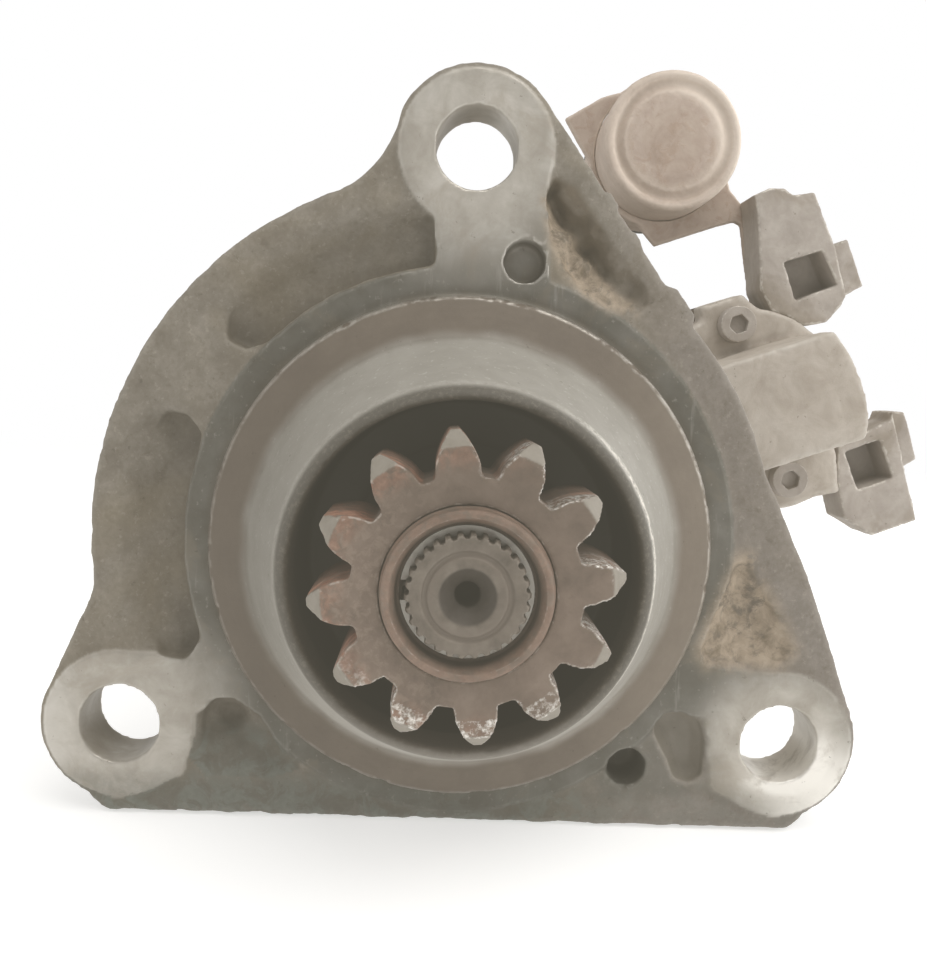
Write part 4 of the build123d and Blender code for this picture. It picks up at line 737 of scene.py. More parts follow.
def rusty_tin(name, centre=None):
    """Pressed steel, brown with rust, its pale tones partly painted haze, with painted light on
    faces turned to the right and painted shade in hollows; a centre (x, z) in metres adds a
    painted lighter outer rim.
    """
    mat = Shader(name)
    times, band = mat.times, mat.band
    noise = mat.noises(mid=(8, 5, 0.62, 0.5, 101), rusted=(3.4, 6, 0.7, 0.5, 102, 0.50, 0.62),
                       rust=(1.2, 5, 0.7, 0, 103), fine=(0.7, 4, 0.65, 0, 104))
    # painted light: faces turned to the right are lighter; worn edges add to it
    faces_right = times(band(mat.normal(0), start=0.1, end=0.9), 0.75)
    edges = times(band(mat.attr("edge"), start=0.1, end=0.9), 0.25)
    colour = mat.layers(
        mat.ramp(noise.mid, (0.25, (156, 138, 124)), (0.5, (181, 164, 151)),
                 (0.78, (200, 186, 173))),
        (noise.rusted, 0.38, mat.mix(noise.rust, (138, 112, 92), (172, 146, 124))),
        # painted shade in hollows
        (mat.attr("cavity"), 0.5, (126, 106, 90)),
        (mat.plus(edges, faces_right, clamp=True), 1, (232, 219, 205)))
    if centre:
        # painted light and shade on the can bottom: a lighter outer rim, a brighter crescent at
        # its upper right and a darker recessed middle
        dx, dz = mat.minus(mat.axis(0), centre[0]), mat.minus(mat.axis(2), centre[1])
        radius = mat.math("SQRT", mat.plus(times(dx, dx), times(dz, dz)))
        rim_start, rim_end = 0.0095, 0.0125
        upper_right = band(mat.plus(dx, times(dz, 0.8)), start=0.002, end=0.016)
        colour = mat.layers(
            colour,
            (band(radius, rim_start, rim_end), 0.4, (206, 192, 178)),
            (times(upper_right, band(radius, rim_start, rim_end)), 0.45, (236, 224, 210)),
            (band(radius, rim_start, end=0.007), 0.25, (160, 140, 122)))
    return mat.finish(colour, mat.linear(noise.mid, slope=0.2, offset=0.6),
                      times(mat.minus(1.0, noise.rusted), 0.15), specular=0.3,
                      height=mat.plus(noise.fine, times(noise.rusted, 0.8)),
                      depth=0.09, bump=0.6)


def dusty_plastic(name, dark, light, seed, roughness):
    """Smooth plastic, varnish or carbon with dust on upward faces."""
    mat = Shader(name)
    noise = mat.noises(mid=(9, 5, 0.6, 0.4, 120 + seed),
                       dust=(4, 6, 0.65, 0.3, 121 + seed, 0.35, 0.75),
                       fine=(0.6, 3, 0.6, 0, 122 + seed))
    upward = mat.band(mat.normal(2), start=-0.3, end=0.9)
    dust = mat.times(noise.dust, mat.linear(upward, slope=0.5, offset=0.2))
    colour = mat.layers(mat.mix(noise.mid, dark, light), (dust, 1, (140, 130, 114)))
    return mat.finish(colour, mat.linear(dust, 0.3, roughness), metallic=0.0,
                      specular=0.45, height=noise.fine, depth=0.04, bump=0.5)


def rubber(name):
    mat = Shader(name)
    noise = mat.noises(mid=(5, 5, 0.6, 0.2, 131), fine=(0.8, 3, 0.6, 0, 132))
    return mat.finish(mat.mix(noise.mid, (26, 25, 23), (52, 49, 44)), roughness=0.78,
                      metallic=0.0, specular=0.3, height=noise.fine, depth=0.05, bump=0.6)


def laminated(name):
    """Stacked sheet steel, ridged along Y."""
    mat = Shader(name)
    ridges = mat.node("TexWave", {"Scale": 420, "Distortion": 0.4, "Vector": mat.place},
                      bands_direction="Y")
    noise = mat.noises(mid=(6, 5, 0.6, 0.2, 141))
    return mat.finish(mat.mix(noise.mid, (74, 70, 66), (122, 116, 108)), roughness=0.45,
                      metallic=0.6, specular=0.4, height=ridges.outputs[0],
                      depth=0.08, bump=0.8)


MATERIALS = {name: build(name, **settings) for name, build, settings in (
    ("casting", casting, {}),
    ("end_casting", plain_casting, dict(
        dark=(112, 104, 90), medium=(138, 130, 116), light=(164, 156, 142), seed=1)),
    # pale tones for the terminal blocks and solenoid screws, partly painted haze
    ("block_casting", plain_casting, dict(
        dark=(150, 141, 132), medium=(168, 159, 150), light=(188, 180, 171), seed=2)),
    ("gear_steel", gear_steel, {}),
    ("shaft_steel", shaft_steel, {}),
    ("bearing_steel", plain_steel, dict(
        dark=(150, 148, 144), medium=(176, 174, 170), light=(204, 202, 198),
        size=4, metallic=0.9, roughness=0.22, rust=0.0, seed=1)),
    ("fastener", plain_steel, dict(
        dark=(112, 104, 92), medium=(146, 138, 124), light=(178, 170, 156),
        size=4, metallic=0.7, roughness=0.36, rust=0.45, seed=2)),
    ("seal_rubber", rubber, {}),
    ("yoke_paint", old_paint, {}),
    ("copper", plain_steel, dict(
        dark=(104, 68, 50), medium=(142, 96, 70), light=(172, 126, 96),
        size=4, metallic=0.6, roughness=0.38, rust=0.1, seed=3)),
    ("varnish", dusty_plastic, dict(
        dark=(92, 40, 24), light=(132, 64, 38), seed=2, roughness=0.35)),
    ("laminations", laminated, {}),
    ("brush_carbon", dusty_plastic, dict(
        dark=(44, 40, 38), light=(70, 62, 58), seed=3, roughness=0.6)),
    ("phenolic", dusty_plastic, dict(
        dark=(34, 31, 28), light=(60, 55, 49), seed=1, roughness=0.42)),
    ("can_steel", rusty_tin, {}),
    ("braid", plain_steel, dict(
        dark=(96, 76, 58), medium=(126, 102, 80), light=(154, 132, 108),
        size=2, metallic=0.4, roughness=0.5, rust=0.2, seed=4)),
)}

for node, ob in NODES.items():
    ob.data.materials.clear()
    ob.data.materials.append(MATERIALS[SLOT[node]])


# ---------------------------------------------------------------- drive housing
# Outlines on the front of the flange, (x, z) in mm.
MACHINED_PADS = [
    [(-13.2, 68.5), (-7.2, 60.0), (-6.7, 50.0), (14.2, 48.0), (13.8, 60.0), (13.4, 68.5)],
    [(-66.0, -23.2), (-57.0, -22.8), (-47.0, -20.0), (-38.0, -30.6), (-49.0, -33.8),
     (-51.2, -46.0), (-60.0, -50.0)],
    [(66.0, -23.0), (57.0, -22.6), (47.0, -21.6), (40.0, -31.0), (48.6, -31.6),
     (50.6, -46.0), (60.0, -50.0)],
]
UPPER_RIGHT_POCKET = [
    (12.9, 64.6), (14.6, 57.6), (17.4, 52.0), (21.4, 48.0), (25.7, 45.9), (31.3, 45.2),
    (33.6, 46.6), (32.6, 49.4), (28.0, 54.4), (23.1, 60.3), (18.4, 66.8), (14.4, 68.4)]
RIGHT_POCKET = [
    (52.6, -2.7), (49.4, -11.0), (46.9, -18.6), (48.2, -20.8), (62.4, -20.7),
    (64.8, -18.2), (61.4, -11.6), (57.3, -5.2), (54.8, -0.6), (53.4, -0.8)]
LOWER_LEFT_POCKET = [
    (-47.5, -33.6), (-45.4, -31.2), (-42.0, -30.8), (-37.0, -34.0), (-30.8, -43.4),
    (-34.0, -44.4), (-46.4, -44.4), (-48.2, -42.6)]
LOWER_RIGHT_POCKET = [
    (38.9, -33.4), (40.8, -31.4), (43.6, -30.7), (47.6, -32.5), (48.8, -36.1),
    (48.9, -43.6), (46.4, -44.9), (43.5, -44.2), (41.9, -40.3), (39.2, -35.6)]
LOWER_RIGHT_WEB = [(33, -33), (40, -29.5), (50, -30), (52, -47), (44, -48.6), (30, -48.0),
                   (27, -41)]
MOUNTING_HOLES = [(0.0, 73.025), (-63.2415, -36.5125), (63.2415, -36.5125)]
LOWER_HOLE_X, LOWER_HOLE_Z = 63.24, -36.5  # rounded, for the colour masks
UPPER_BLIND_HOLE = (9.65, 53.0)
LOWER_BLIND_HOLE = (34.0, -42.2)
# corners of the swinging lever, (x, z), and their y and distance from the shaft
LEVER_CORNERS = [(19.45, 34.91), (37.24, -14.29)]
LEVER_Y, LEVER_RADIUS = 52.92, 39.95


def arc_outline(start, end, outer=61.2, inner=52.2, steps=14):
    """Band about the shaft between two angles in degrees."""
    angles = np.radians(np.linspace(start, end, steps))
    return ([(outer * math.cos(a), outer * math.sin(a)) for a in angles]
            + [(inner * math.cos(a), inner * math.sin(a)) for a in angles[::-1]])


def distance_to(point, x, z):
    return np.hypot(x - point[0], z - point[1])


# Pocket floors: y in mm at (x, z), given the distance inside the outline.
def channel_floor(x, z, inward=None):
    """The two long pockets: deep beside the ring, running out towards the rim."""
    plan = flat(x, z)
    edge = np.hypot(x, z) + grain(plan, 8.0, 2, 3) * 0.9
    return 0.8 + 5.6 * (1 - fade(55.0, 65.4, edge)) + grain(plan, 3.0, 2, 4) * 0.12


def from_upper_edge(x, z):
    """Ragged distance from the straight outer edge of the upper right pocket."""
    (x1, z1), (x2, z2) = UPPER_RIGHT_POCKET[-1], UPPER_RIGHT_POCKET[6]
    across = (x - x1) * (z2 - z1) - (z - z1) * (x2 - x1)
    return across / math.hypot(x2 - x1, z2 - z1) + grain(flat(x, z), 4.5, 3, 5) * 2.2


def upper_right_floor(x, z, inward):
    plan, inset = flat(x, z), from_upper_edge(x, z)
    trough = fade(-0.6, 2.2, inset) * (1 - 0.8 * fade(2.6, 5.6, inset))
    y = (1.1 + 5.0 * trough * (1 - 0.6 * fade(23.0, 29.0, x))
         + grain(plan, 1.8, 3, 6) * 1.5 + grain(plan, 5.0, 2, 7) * 1.3)
    return np.clip(y - 1.5 * fade(25, 33, x) * (grain(plan, 3.0, 2, 8) + 0.4), 1.1, 7.6)


def right_floor(x, z, inward):
    plan = flat(x, z)
    y = (1.3 + 2.2 * fade(-0.6, 4.6, inward)
         + grain(plan, 5.0, 3, 9) * 1.0 + grain(plan, 1.6, 2, 10) * 0.25)
    return np.clip(y, 0.7, 5.0)


def lower_left_floor(x, z, inward):
    lobe = np.exp(-(((x + 43.6) / 4.6) ** 2 + ((z + 35.2) / 3.9) ** 2))
    y = 1.4 + 4.4 * lobe + 1.2 * fade(-0.5, 3.5, inward) + grain(flat(x, z), 3.6, 3, 11) * 1.0
    return np.clip(y, 0.9, 7.0)


def lower_right_floor(x, z, inward):
    return 2.6 + 2.4 * fade(-0.4, 2.0, inward) + grain(flat(x, z), 4.0, 2, 12) * 0.5


def housing_blocks():
    """Blocks that fill the CAD pockets up to their cast floors."""
    blocks = [relief_block(arc_outline(start, end), channel_floor, grow=1.4, step=0.5)
              for start, end in ((97, 139), (157, 204.5))]
    blocks += [relief_block(outline, floor, grow=0.8, step=0.45) for outline, floor in (
        (UPPER_RIGHT_POCKET, upper_right_floor), (RIGHT_POCKET, right_floor),
        (LOWER_LEFT_POCKET, lower_left_floor), (LOWER_RIGHT_POCKET, lower_right_floor))]
    return blocks + [drum(UPPER_BLIND_HOLE, radius=4.3, y0=4.4, y1=11.8)]


def measure_housing(part):
    """Opens the long pockets, then measures the unsmoothed housing for later steps."""
    x, y, z = part.points.T.copy()
    radius = np.hypot(x, z)
    angle = np.degrees(np.arctan2(z, x)) % 360
    hole = np.min([distance_to(centre, x, z) for centre in MOUNTING_HOLES], axis=0)
    pad = np.minimum(radius - 51.6, hole - 14.0)
    for outline in MACHINED_PADS:
        pad = np.minimum(pad, outline_distance(outline, x, z))
    # run the outer wall of the long pockets out into the rim
    window = np.maximum(fade(96.5, 101, angle) * (1 - fade(134, 141, angle)),
                        fade(156.5, 161, angle) * (1 - fade(199, 205, angle)))
    floor = channel_floor(x, z)
    wall = (radius > 58.0) & (radius < 66.0) & (y < floor) & (y > 0.3) & (pad > 1.0)
    y = np.where(wall, y + (floor - y) * window, y)
    part.points[:, 1] = y
    return SimpleNamespace(
        x=x, y=y, z=z, radius=radius, angle=angle, hole=hole,
        solenoid=x * SOLENOID_COS + z * SOLENOID_SIN,
        turned=(radius < 46.8) & (y < 0.4),
        blind=((distance_to(UPPER_BLIND_HOLE, x, z) < 4.6)
               | (distance_to(LOWER_BLIND_HOLE, x, z) < 4.5)),
        # flat pads, mounting holes, their back faces, rear joint and inner bore
        machined=(((y < 0.45) & (y > -0.5) & (pad < 0.5) & (radius > 45.5))
                  | ((hole < 8.3) & (y > -0.5) & (y < 13.5))
                  | ((np.abs(y - 13) < 0.5) & (hole < 13.0))
                  | (y > 110.5)
                  | ((radius < 38.6) & (y > -9))))


def shape_housing(part, raw):
    """Smooths and roughens the cast skin and leaves the machined faces crisp."""
    machined = raw.machined | raw.turned | (raw.blind & (raw.y < 11))
    cast = 1 - part.blur(machined.astype(float), 2)
    pocket_rim = ((np.abs(outline_distance(LOWER_RIGHT_POCKET, raw.x, raw.z)) < 2.0)
                  & (raw.y < 6) & (raw.y > -0.5))
    cast = cast * (1 - 0.85 * pocket_rim)
    fillet = (bell(raw.radius, 38.0, 3.2) * (raw.y < -4)
              + bell(raw.radius, 29.0, 1.3) * (raw.y < -29))
    part.relax(3)
    part.smooth(8, np.clip(cast + fillet, 0, 1))
    part.smooth(26, np.clip(fillet, 0, 1))

    x, y, z = part.points.T
    radius = np.hypot(x, z)
    rough = grain(part.points, 5.0, 3, 41) * 0.2 + grain(part.points, 1.3, 2, 42) * 0.08
    foot = fade(-40, -50, z) * (y < 13.2) * (1 - fade(20, 60, x))
    rough += foot * grain(part.points, 3.4, 3, 44) * 0.45
    part.push(np.clip(cast, 0, 1) * rough)

    # raised stretches on the straight upper right side of the flange, which faces
    # (0.866, 0.5); along and out are measured from a point near the top lug
    face_x, face_z = 0.866, 0.5
    top_x, top_z = 12.1, 80.0
    normals = part.normals()
    side = fade(0.25, 0.8, normals[:, 0] * face_x + normals[:, 2] * face_z)
    side = side * (y < 13.3) * (y > -0.6)
    along = (x - top_x) * face_z - (z - top_z) * face_x
    out = (x - top_x) * face_x + (z - top_z) * face_z
    ridge = side * (out > 3.0) * (
        1.5 * fade(37.6, 40.0, along) * fade(47.5, 45.2, along)
        + 0.8 * fade(17.4, 18.4, along) * fade(22.0, 20.6, along)
        + 0.5 * fade(26, 27, along) * fade(31, 28, along))
    x += ridge * face_x
    z += ridge * face_z
    # the bottom of the flange hangs a little lower
    z -= 0.8 * fade(-50.0, -52.6, z) * (np.abs(x) < 69) * (y < 13.5)

    part.chip(depth=0.8, size=2.6, seed=51, threshold=0.15, percentile=98,
              where=1 - 0.8 * fade(10.0, 9.0, raw.hole))
    # room for the corners of the swinging lever
    for corner_x, corner_z in LEVER_CORNERS:
        gap = np.sqrt((x - corner_x) ** 2 + (y - LEVER_Y) ** 2 + (z - corner_z) ** 2)
        near = fade(3.4, 1.2, gap) * (np.hypot(x, z) < 41.8)
        x += 0.6 * near * corner_x / LEVER_RADIUS
        z += 0.6 * near * corner_z / LEVER_RADIUS
    # turning marks on the nose
    nose = (radius < 45.9) & (y < -1)
    part.push(nose * (np.sin(np.hypot(x, z) * 4.2) * 0.012
                      + grain(part.points, 2.2, 3, 52) * 0.035))


def mask_housing(part, raw):
    """Writes the attributes that the casting material reads."""
    part.write_edge_and_cavity()
    x, y, z = part.points.T
    radius = np.hypot(x, z)
    plan = flat(x, z)
    angle, hole = raw.angle, raw.hole
    machined = (raw.machined | (raw.blind & (y < 11))
                | (raw.turned & (radius > 45.2))).astype(float)
    pocket = outline_distance(LOWER_RIGHT_POCKET, x, z)
    web = outline_distance(LOWER_RIGHT_WEB, x, z) + grain(plan, 3.5, 3, 56) * 1.6
    web = (fade(1.6, -1.6, web) * (y < 2.6) * (y > -0.5) * (radius > 46.2)
           * fade(0.2, 0.8, pocket))
    part.attribute("mach", part.blur(np.maximum(machined, web * 0.75), 1))
    part.attribute("well", part.blur(fade(0.6, 0.0, pocket) * (y < 9) * (y > 0.9), 1))

    # catch of light round the mouth of the nose, strongest on the right
    mouth = np.clip(fade(290, 335, angle) + fade(75, 30, angle), 0.12, 1)
    part.attribute("glint", bell(radius, 30.6, 0.42) * (y < -27.5) * mouth)
    # paler metal round the mounting holes, partly painted reflection, reaching less far on the
    # right; then painted highlights on the lug pads, brightest at the lower right
    part.attribute("pad", 1 - fade(9, 9 + (21 - 10 * fade(22, 42, x)), hole))
    hole_z = z - LOWER_HOLE_Z
    right_hole = np.hypot(x - LOWER_HOLE_X, hole_z)
    part.attribute("bright", np.clip(
        fade(56, 72, x) * fade(-31, -45, z) + fade(-68, -78, x) * 0.35
        + 0.8 * fade(11.4, 8.6, right_hole)
        * fade(4.0, -9.0, hole_z - 0.3 * (x - LOWER_HOLE_X)), 0, 1))

    # nose: painted shade in the bore, lip, pale cone, turned band
    soot = ((radius < 28.5) & (y < 40)).astype(float)
    part.attribute("soot", part.blur(soot, 1) * fade(-31.9, -29.5, y) * 0.94)
    lip = (radius < 30.6) * (y < -24) * fade(30.5, 29.7, radius)
    part.attribute("lip", part.blur(lip, 1) * 0.9)
    part.attribute("band", fade(28.9, 30.5, radius) * (y < -0.8) * (radius < 46.2) * 0.9)
    wavy = radius + grain(plan, 6.0, 3, 55) * 0.7
    part.attribute("tint", fade(40.4, 37.4, wavy) * (radius > 28.4) * (y < -5))

    # ochre and brown dirt in the upper right and right pockets
    upper = outline_distance(UPPER_RIGHT_POCKET, x, z)
    right = outline_distance(RIGHT_POCKET, x, z)
    front = (y < 9.5) & (y > -0.2)
    ochre = (fade(2.6, 4.6, from_upper_edge(x, z)) * fade(2.2, -0.4, upper) * front
             + fade(3.2, -1.2, right) * front)
    # painted shade on the left of the wall of the left mounting hole, carried in the brown dirt
    # mask
    left_hole = np.hypot(x + LOWER_HOLE_X, hole_z) < 8.6
    loam = (fade(0.8, -0.3, upper) * front * (1 - 0.6 * fade(22.5, 28.0, x))
            + 0.7 * fade(1.0, -0.6, right) * front
            + 0.3 * left_hole * (y > 0.6) * (y < 12.6) * fade(-62.0, -67.0, x))
    part.attribute("dirt", part.blur(np.clip(ochre, 0, 1), 1))
    part.attribute("loam", part.blur(np.clip(loam, 0, 1), 1))

    # painted haze on the skin out by the solenoid, painted highlights on the worn edges and the
    # low oxide
    far = (raw.solenoid > 55.5) * (y > 30.0)
    part.attribute("far", far * 1.0)
    # painted highlight on the worn edges, strongest on the right and top of the ring, the right of
    # the mouth, round the holes and out by the solenoid
    ring_arc = np.clip(fade(60, 20, angle) + fade(0, 20, angle) * fade(150, 110, angle)
                       + fade(335, 355, angle), 0, 1)
    mouth_arc = np.clip(fade(300, 350, angle) + fade(60, 10, angle), 0, 1)
    wear_and_highlight = (((np.abs(radius - 46.0) < 1.4) & (y < 0.6)) * (0.25 + 0.75 * ring_arc)
             + 0.75 * (distance_to(UPPER_BLIND_HOLE, x, z) < 5.4)
             + 0.9 * ((radius < 31.2) & (radius > 29.6) & (y < -28)) * (0.25 + 0.75 * mouth_arc)
             + 0.35 * (hole < 9.2) + 0.4 * far)
    part.attribute("wear_and_highlight", np.clip(wear_and_highlight + 0.12, 0, 1))
    pocket = outline_distance(LOWER_LEFT_POCKET, x, z) < 1.8
    oxide = (np.clip(fade(-43, -50, z) + 0.9 * pocket * fade(-35, -40, z), 0, 1)
             * (y < 14) * (1 - 0.7 * fade(10, 40, x)) * (y > -2))
    part.attribute("oxide", np.clip(oxide * (1 - machined * 0.6), 0, 1))


def build_housing():
    part = remeshed(joined(node_mesh("drive_housing"), housing_blocks()), 0.54)
    raw = measure_housing(part)
    shape_housing(part, raw)
    mask_housing(part, raw)
    part.finish("housing_casting", "housing", MATERIALS["casting"], "drive_housing")


build_housing()


# ---------------------------------------------------------------- pinion, stop ring, shaft
def around(normals, x, z, radius):
    """How far each normal points round the shaft, from -1 to 1."""
    return normals[:, 0] * (-z) / radius + normals[:, 2] * x / radius


def build_pinion():
    part = remeshed(node_mesh("pinion_gear"), 0.22)
    part.relax(2)
    part.smooth(1)
    x, y, z = part.points.T.copy()
    radius = np.hypot(x, z)
    part.chip(depth=0.5, size=1.5, seed=71, threshold=0.02, percentile=97, where=radius > 15)
    # the front edges of the teeth are worn back most on the lower right
    flank = np.abs(around(part.normals(), x, z, radius))
    lower_right = fade(-14, 14, x - z * 0.6)
    lead = ((y < -39.0) * (radius > 17.0) * fade(0.25, 0.75, flank)
            * np.clip(lower_right + 0.4 * fade(-6, -16, z), 0, 1))
    ragged = 0.3 + 0.7 * np.clip(grain(part.points, 1.6, 3, 74) + 0.2, 0, 1)
    part.push(-lead * ragged * fade(-39.5, -43.0, y))
    part.push(grain(part.points, 0.9, 2, 72) * 0.02 + grain(part.points, 3.0, 2, 73) * 0.03)
    part.write_edge_and_cavity()

    x, y, z = part.points.T
    radius = np.hypot(x, z)
    turn = around(part.normals(), x, z, radius)
    flank = np.abs(turn)
    left = fade(14, -8, x)
    rust = ((radius > 16.4) * fade(0.15, 0.5, flank) * (0.2 + 0.8 * left) * (y > -43.2)
            + (radius > 16.5) * (y < -42.8) * 0.45 * left * fade(17.0, 20.5, radius))
    rust = np.clip(rust + 0.25 * (radius > 21) * (y > -40), 0, 1)
    # chamfer at the front of the tooth tips
    cone = ((np.abs(radius - 21.4 - (y + 43.5) * 0.75) < 0.38)
            * (radius > 21.4) * (y < -39.9) * 1.0)
    # bare metal, with painted sparkle placed where the light falls: both flanks near the front,
    # one flank in three arcs, the lower tips
    bare = ((radius > 17.0) * fade(-38.0, -40.5, y) * fade(0.15, 0.4, flank)
            * np.clip(lower_right * 1.6 + 0.6 * fade(-6, -16, z), 0, 1) * (1 - cone))
    angle = np.degrees(np.arctan2(z, x))
    arcs = np.clip(fade(44, 52, angle) * fade(78, 70, angle)
                   + fade(-52, -44, angle) * fade(-6, -14, angle)
                   + 0.6 * fade(-14, -6, angle) * fade(20, 12, angle), 0, 1)
    one_flank = ((radius > 17.4) * fade(-33.0, -37.5, y) * fade(0.1, 0.35, turn)
                 * arcs * (1 - cone) * 1.3)
    tips = (radius > 19.0) * (y < -41.5) * (radius < 21.8) * fade(-8, -20, z) * 0.8
    bare = np.maximum(np.maximum(bare, one_flank), tips)
    part.attribute("rust", rust * (1 - cone))
    part.attribute("cone", part.blur(cone, 1))
    part.attribute("bare", np.clip(bare, 0, 1))
    part.attribute("dust", (y < -42.8) * fade(4, -12, x))
    # painted shade on the back of the teeth, inside the nose
    part.attribute("deep", (y > -36.0) * (radius > 16.0) * 0.55)
    part.finish("pinion_teeth", "pinion", MATERIALS["gear_steel"], "pinion_gear")


def build_stop_ring():
    part = remeshed(node_mesh("stop_ring"), 0.16)
    # narrower towards its front
    part.points[:, [0, 2]] *= (1 - 0.028 * fade(-43.2, -44.4, part.points[:, 1]))[:, None]
    part.relax(2)
    part.smooth(2)
    part.push(grain(part.points, 2.0, 3, 81) * 0.05)
    part.write_edge_and_cavity()
    for name, value in (("rust", 0.22), ("bare", 0.0), ("cone", 0.0), ("dust", 0.3)):
        part.attribute(name, np.full(part.count, value))
    x, y, z = part.points.T
    # painted shade in the bore of the ring
    part.attribute("deep", (np.hypot(x, z) < 11.2) * 0.45 * fade(-45.2, -43.5, y))
    part.finish("stop_ring_worn", "shaft", MATERIALS["gear_steel"], "stop_ring")


def build_shaft():
    """The splined front end is sculpted; the rest keeps its turned form."""
    part = remeshed(cut_mesh("pinion_shaft", -30.0, front=True), 0.15)
    part.relax(2)
    part.smooth(2)
    part.push(grain(part.points, 2.4, 3, 91) * 0.05 + grain(part.points, 0.8, 2, 92) * 0.03)
    part.chip(depth=0.3, size=1.3, seed=93, threshold=0.05, percentile=97)
    part.points[:, [0, 2]] *= (1 - 0.035 * fade(-38.0, -41.0, part.points[:, 1]))[:, None]
    # soften the groove in the end face
    x, y, z = part.points.T
    groove = 6.0
    part.smooth(10, bell(np.hypot(x, z), groove, 1.6) * (y < -40.5))
    part.write_edge_and_cavity()
    radius = np.hypot(x, z)
    part.attribute("groove", bell(radius, groove, 0.7) * (y < -40.5))
    # painted shade in the centre hole of the shaft end
    part.attribute("deep", np.clip(fade(4.5, 3.9, radius) * 0.75
                                   + fade(2.3, 1.7, radius) * 0.25, 0, 1))
    steel = MATERIALS["shaft_steel"]
    part.finish("pinion_shaft_end", "shaft", steel, "pinion_shaft")
    # the two parts overlap a little
    back = cut_mesh("pinion_shaft", -30.6, front=False)
    ob = piece("pinion_shaft_body", back, "shaft", steel, "pinion_shaft")
    to_metres(back)
    round_edges(ob, 0.25, merge_flats=False)


build_pinion()
build_stop_ring()
build_shaft()


# ---------------------------------------------------------------- other pieces
def cast_copy(node, voxel, material, smooth, rough, chips, seed):
    """A CAD node with softened, uneven and chipped skin."""
    part = remeshed(node_mesh(node), voxel)
    part.relax(2)
    part.smooth(smooth)
    part.push(grain(part.points, 4.0, 3, 200 + seed) * rough
              + grain(part.points, 1.1, 2, 201 + seed) * rough * 0.4)
    part.chip(depth=chips, size=2.4, seed=202 + seed, threshold=0.1, percentile=98)
    part.write_edge_and_cavity()
    part.finish(node + "_skin", NODE_BODY[node], material, node)


can_points = np.array([vertex.co[:] for vertex in NODES["relay_can"].data.vertices])
can_centre = (can_points.min(0) + can_points.max(0)) / 2
can_tin = rusty_tin("can_steel", (float(can_centre[0]), float(can_centre[2])))
# node, voxel size, material, smoothing rounds, roughness and chip depth in mm, seed
for row in (
    ("terminal_block_upper", 0.35, MATERIALS["block_casting"], 3, 0.16, 0.5, 3),
    ("terminal_block_lower", 0.35, MATERIALS["block_casting"], 3, 0.16, 0.5, 4),
    ("relay_can", 0.32, can_tin, 3, 0.12, 0.3, 5),
    ("relay_bracket", 0.42, MATERIALS["can_steel"], 2, 0.08, 0.4, 6),
    ("solenoid_screws", 0.2, MATERIALS["block_casting"], 2, 0.08, 0.3, 7),
    ("gear_case", 0.8, MATERIALS["end_casting"], 3, 0.12, 0.5, 8),
    ("rear_cover", 0.7, MATERIALS["end_casting"], 5, 0.15, 0.6, 9),
):
    cast_copy(*row)

# The two coil springs ride their bodies at their CAD length:
# node, body, joint, fixed point in metres, share of the length kept.
for node, body, joint, anchor, keep in (
    ("pinion_spring", "shaft", "pinion_cushion", (0, -0.0060, 0), 0.635),
    ("plunger_spring", "solenoid_plunger", "plunger_slide",
     (SOLENOID_OFFSET * SOLENOID_COS, 0.1019, SOLENOID_OFFSET * SOLENOID_SIN), 0.665),
):
    coil = node_mesh(node)
    ob = piece(node + "_coil", coil, body, MATERIALS[SLOT[node]], node)
    to_metres(coil)
    shade_smooth(coil)
    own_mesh(ob)

# CAD nodes that only get rounded edges
for node in ("yoke", "solenoid_case", "solenoid_cap", "through_bolts", "pole_screws",
             "stud_nuts", "rear_cap", "rear_cap_screws", "power_studs", "control_stud",
             "lead_grommet", "relay_base", "gear_plate", "shift_lever"):
    round_edges(NODES[node], 0.3)
round_edges(NODES["relay_blades"], 0.12)


# ---------------------------------------------------------------- stage
def floor_material():
    """Pale floor that glows softly and fades to pure white away from the product."""
    mat = Shader("floor_pale")
    mottle = mat.noise(size=120, detail=3, roughness=0.5, distortion=0, seed=900)
    colour = mat.mix(mottle, (0.60, 0.60, 0.595, 1), (0.64, 0.64, 0.635, 1))
    surface = mat.node("BsdfPrincipled", {
        "Base Color": colour, "Roughness": 0.7, "Metallic": 0.0, "Specular IOR Level": 0.1})
    glow = mat.node("Emission", {0: (1, 0.995, 0.985, 1), 1: 0.56})
    near = mat.node("AddShader", {0: surface.outputs[0], 1: glow.outputs[0]})
    white = mat.node("Emission", {1: 1.0})
    distance = mat.node("VectorMath", {0: mat.place}, operation="LENGTH").outputs["Value"]
    blend = mat.node("MixShader", {0: mat.band(distance, start=0.30, end=1.0),
                                   1: near.outputs[0], 2: white.outputs[0]})
    mat.node("OutputMaterial", {0: blend.outputs[0]})
    return mat.material


def build_floor():
    bottom = min(corner[2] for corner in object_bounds())
    bm = bmesh.new()
    bmesh.ops.create_grid(bm, x_segments=8, y_segments=8, size=6.0)
    mesh = bpy.data.meshes.new("floor")
    bm.to_mesh(mesh)
    bm.free()
    floor = bpy.data.objects.new("floor", mesh)
    floor.location = (0, 0.2, bottom - 0.0002)
    SCENE.collection.objects.link(floor)
    floor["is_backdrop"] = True
    mesh.materials.append(floor_material())


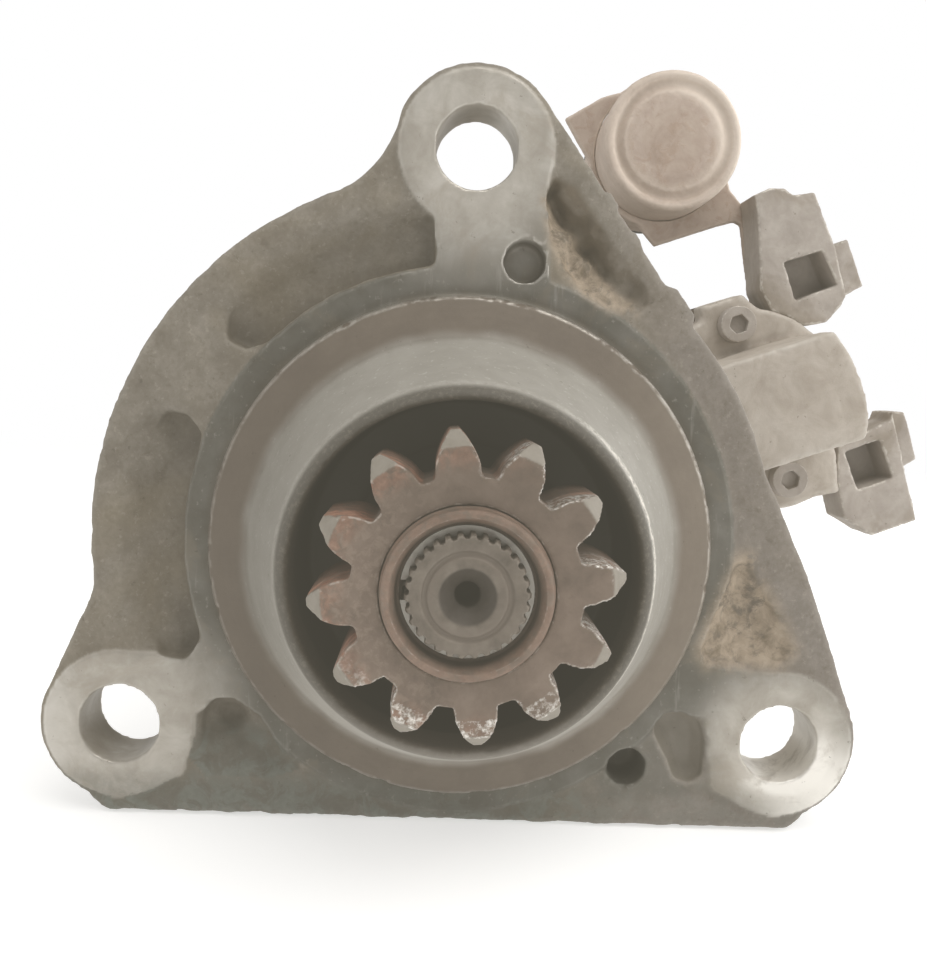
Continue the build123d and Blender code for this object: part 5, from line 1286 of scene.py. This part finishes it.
def build_world():
    """White to the camera; as light, brighter from above, behind and the right."""
    world = bpy.data.worlds.new("studio")
    world.use_nodes = True
    SCENE.world = world
    sky = Nodes(world.node_tree)
    direction = sky.node("TexCoord").outputs["Generated"]
    x, y, z = sky.node("SeparateXYZ", {0: direction}).outputs
    strength = sky.plus(sky.plus(sky.times(z, 0.16), sky.times(y, 0.14)),
                        sky.linear(x, slope=0.08, offset=0.42))
    light = sky.node("Background", {0: (1.0, 0.985, 0.96, 1), 1: strength})
    seen = sky.node("Background", {0: (1, 1, 1, 1), 1: 1.0})
    to_camera = sky.node("LightPath").outputs["Is Camera Ray"]
    blend = sky.node("MixShader", {0: to_camera, 1: light.outputs[0], 2: seen.outputs[0]})
    sky.node("OutputWorld", {0: blend.outputs[0]})


def area_light(name, place, target, size, power, colour=(1, 1, 1)):
    light = bpy.data.lights.new(name, "AREA")
    light.shape = "RECTANGLE"
    light.size, light.size_y = size
    light.energy = power
    light.color = colour
    ob = bpy.data.objects.new(name, light)
    ob.location = place
    aim = Vector(target) - Vector(place)
    ob.rotation_euler = aim.to_track_quat("-Z", "Y").to_euler()
    SCENE.collection.objects.link(ob)


def turned(degrees, first, second):
    """Rotation that carries the first axis towards the second."""
    angle = math.radians(degrees)
    matrix = Matrix.Identity(3)
    matrix[first][first] = matrix[second][second] = math.cos(angle)
    matrix[first][second] = -math.sin(angle)
    matrix[second][first] = math.sin(angle)
    return matrix


def build_camera():
    """Looks along +Y at the nose from slightly above."""
    data = bpy.data.cameras.new("camera")
    data.sensor_width = 36.0
    data.sensor_fit = "AUTO"
    data.lens = 37.5
    data.clip_start = 0.01
    data.clip_end = 50
    camera = bpy.data.objects.new("camera", data)
    yaw, pitch, roll = turned(-1.78, 0, 1), turned(-5.43, 1, 2), turned(-2.44, 2, 0)
    right, forward, up = (yaw @ pitch @ roll).col
    place = (-0.0057, -0.1859, 0.0301)
    pose = Matrix.Identity(4)
    for i in range(3):
        pose[i] = (right[i], up[i], -forward[i], place[i])
    camera.matrix_world = pose
    SCENE.collection.objects.link(camera)
    SCENE.camera = camera


def set_view():
    view = SCENE.view_settings
    view.view_transform = "Standard"
    view.look = "None"
    view.exposure = 0.0
    # light veil: lifts the blacks a little and leaves white alone
    view.use_curve_mapping = True
    curves = view.curve_mapping
    curves.black_level = (-0.064, -0.059, -0.046)
    curves.white_level = (1.0, 1.0, 1.0)
    curves.update()


build_floor()
build_world()
area_light("key", place=(0.25, -0.40, 0.90), target=(0.0, 0.0, 0.0), size=(0.9, 0.7),
           power=5.6, colour=(1, 0.985, 0.96))
area_light("back_right", place=(0.9, 0.6, 0.5), target=(0.03, 0.05, 0.02), size=(0.9, 0.9),
           power=5.0)
area_light("right", place=(0.95, -0.35, 0.10), target=(0.06, 0.05, 0.0), size=(0.7, 0.7),
           power=3.0)
area_light("left", place=(-0.9, -0.1, 0.4), target=(0.0, 0.1, 0.0), size=(0.8, 0.8),
           power=2.4)
build_camera()
set_view()
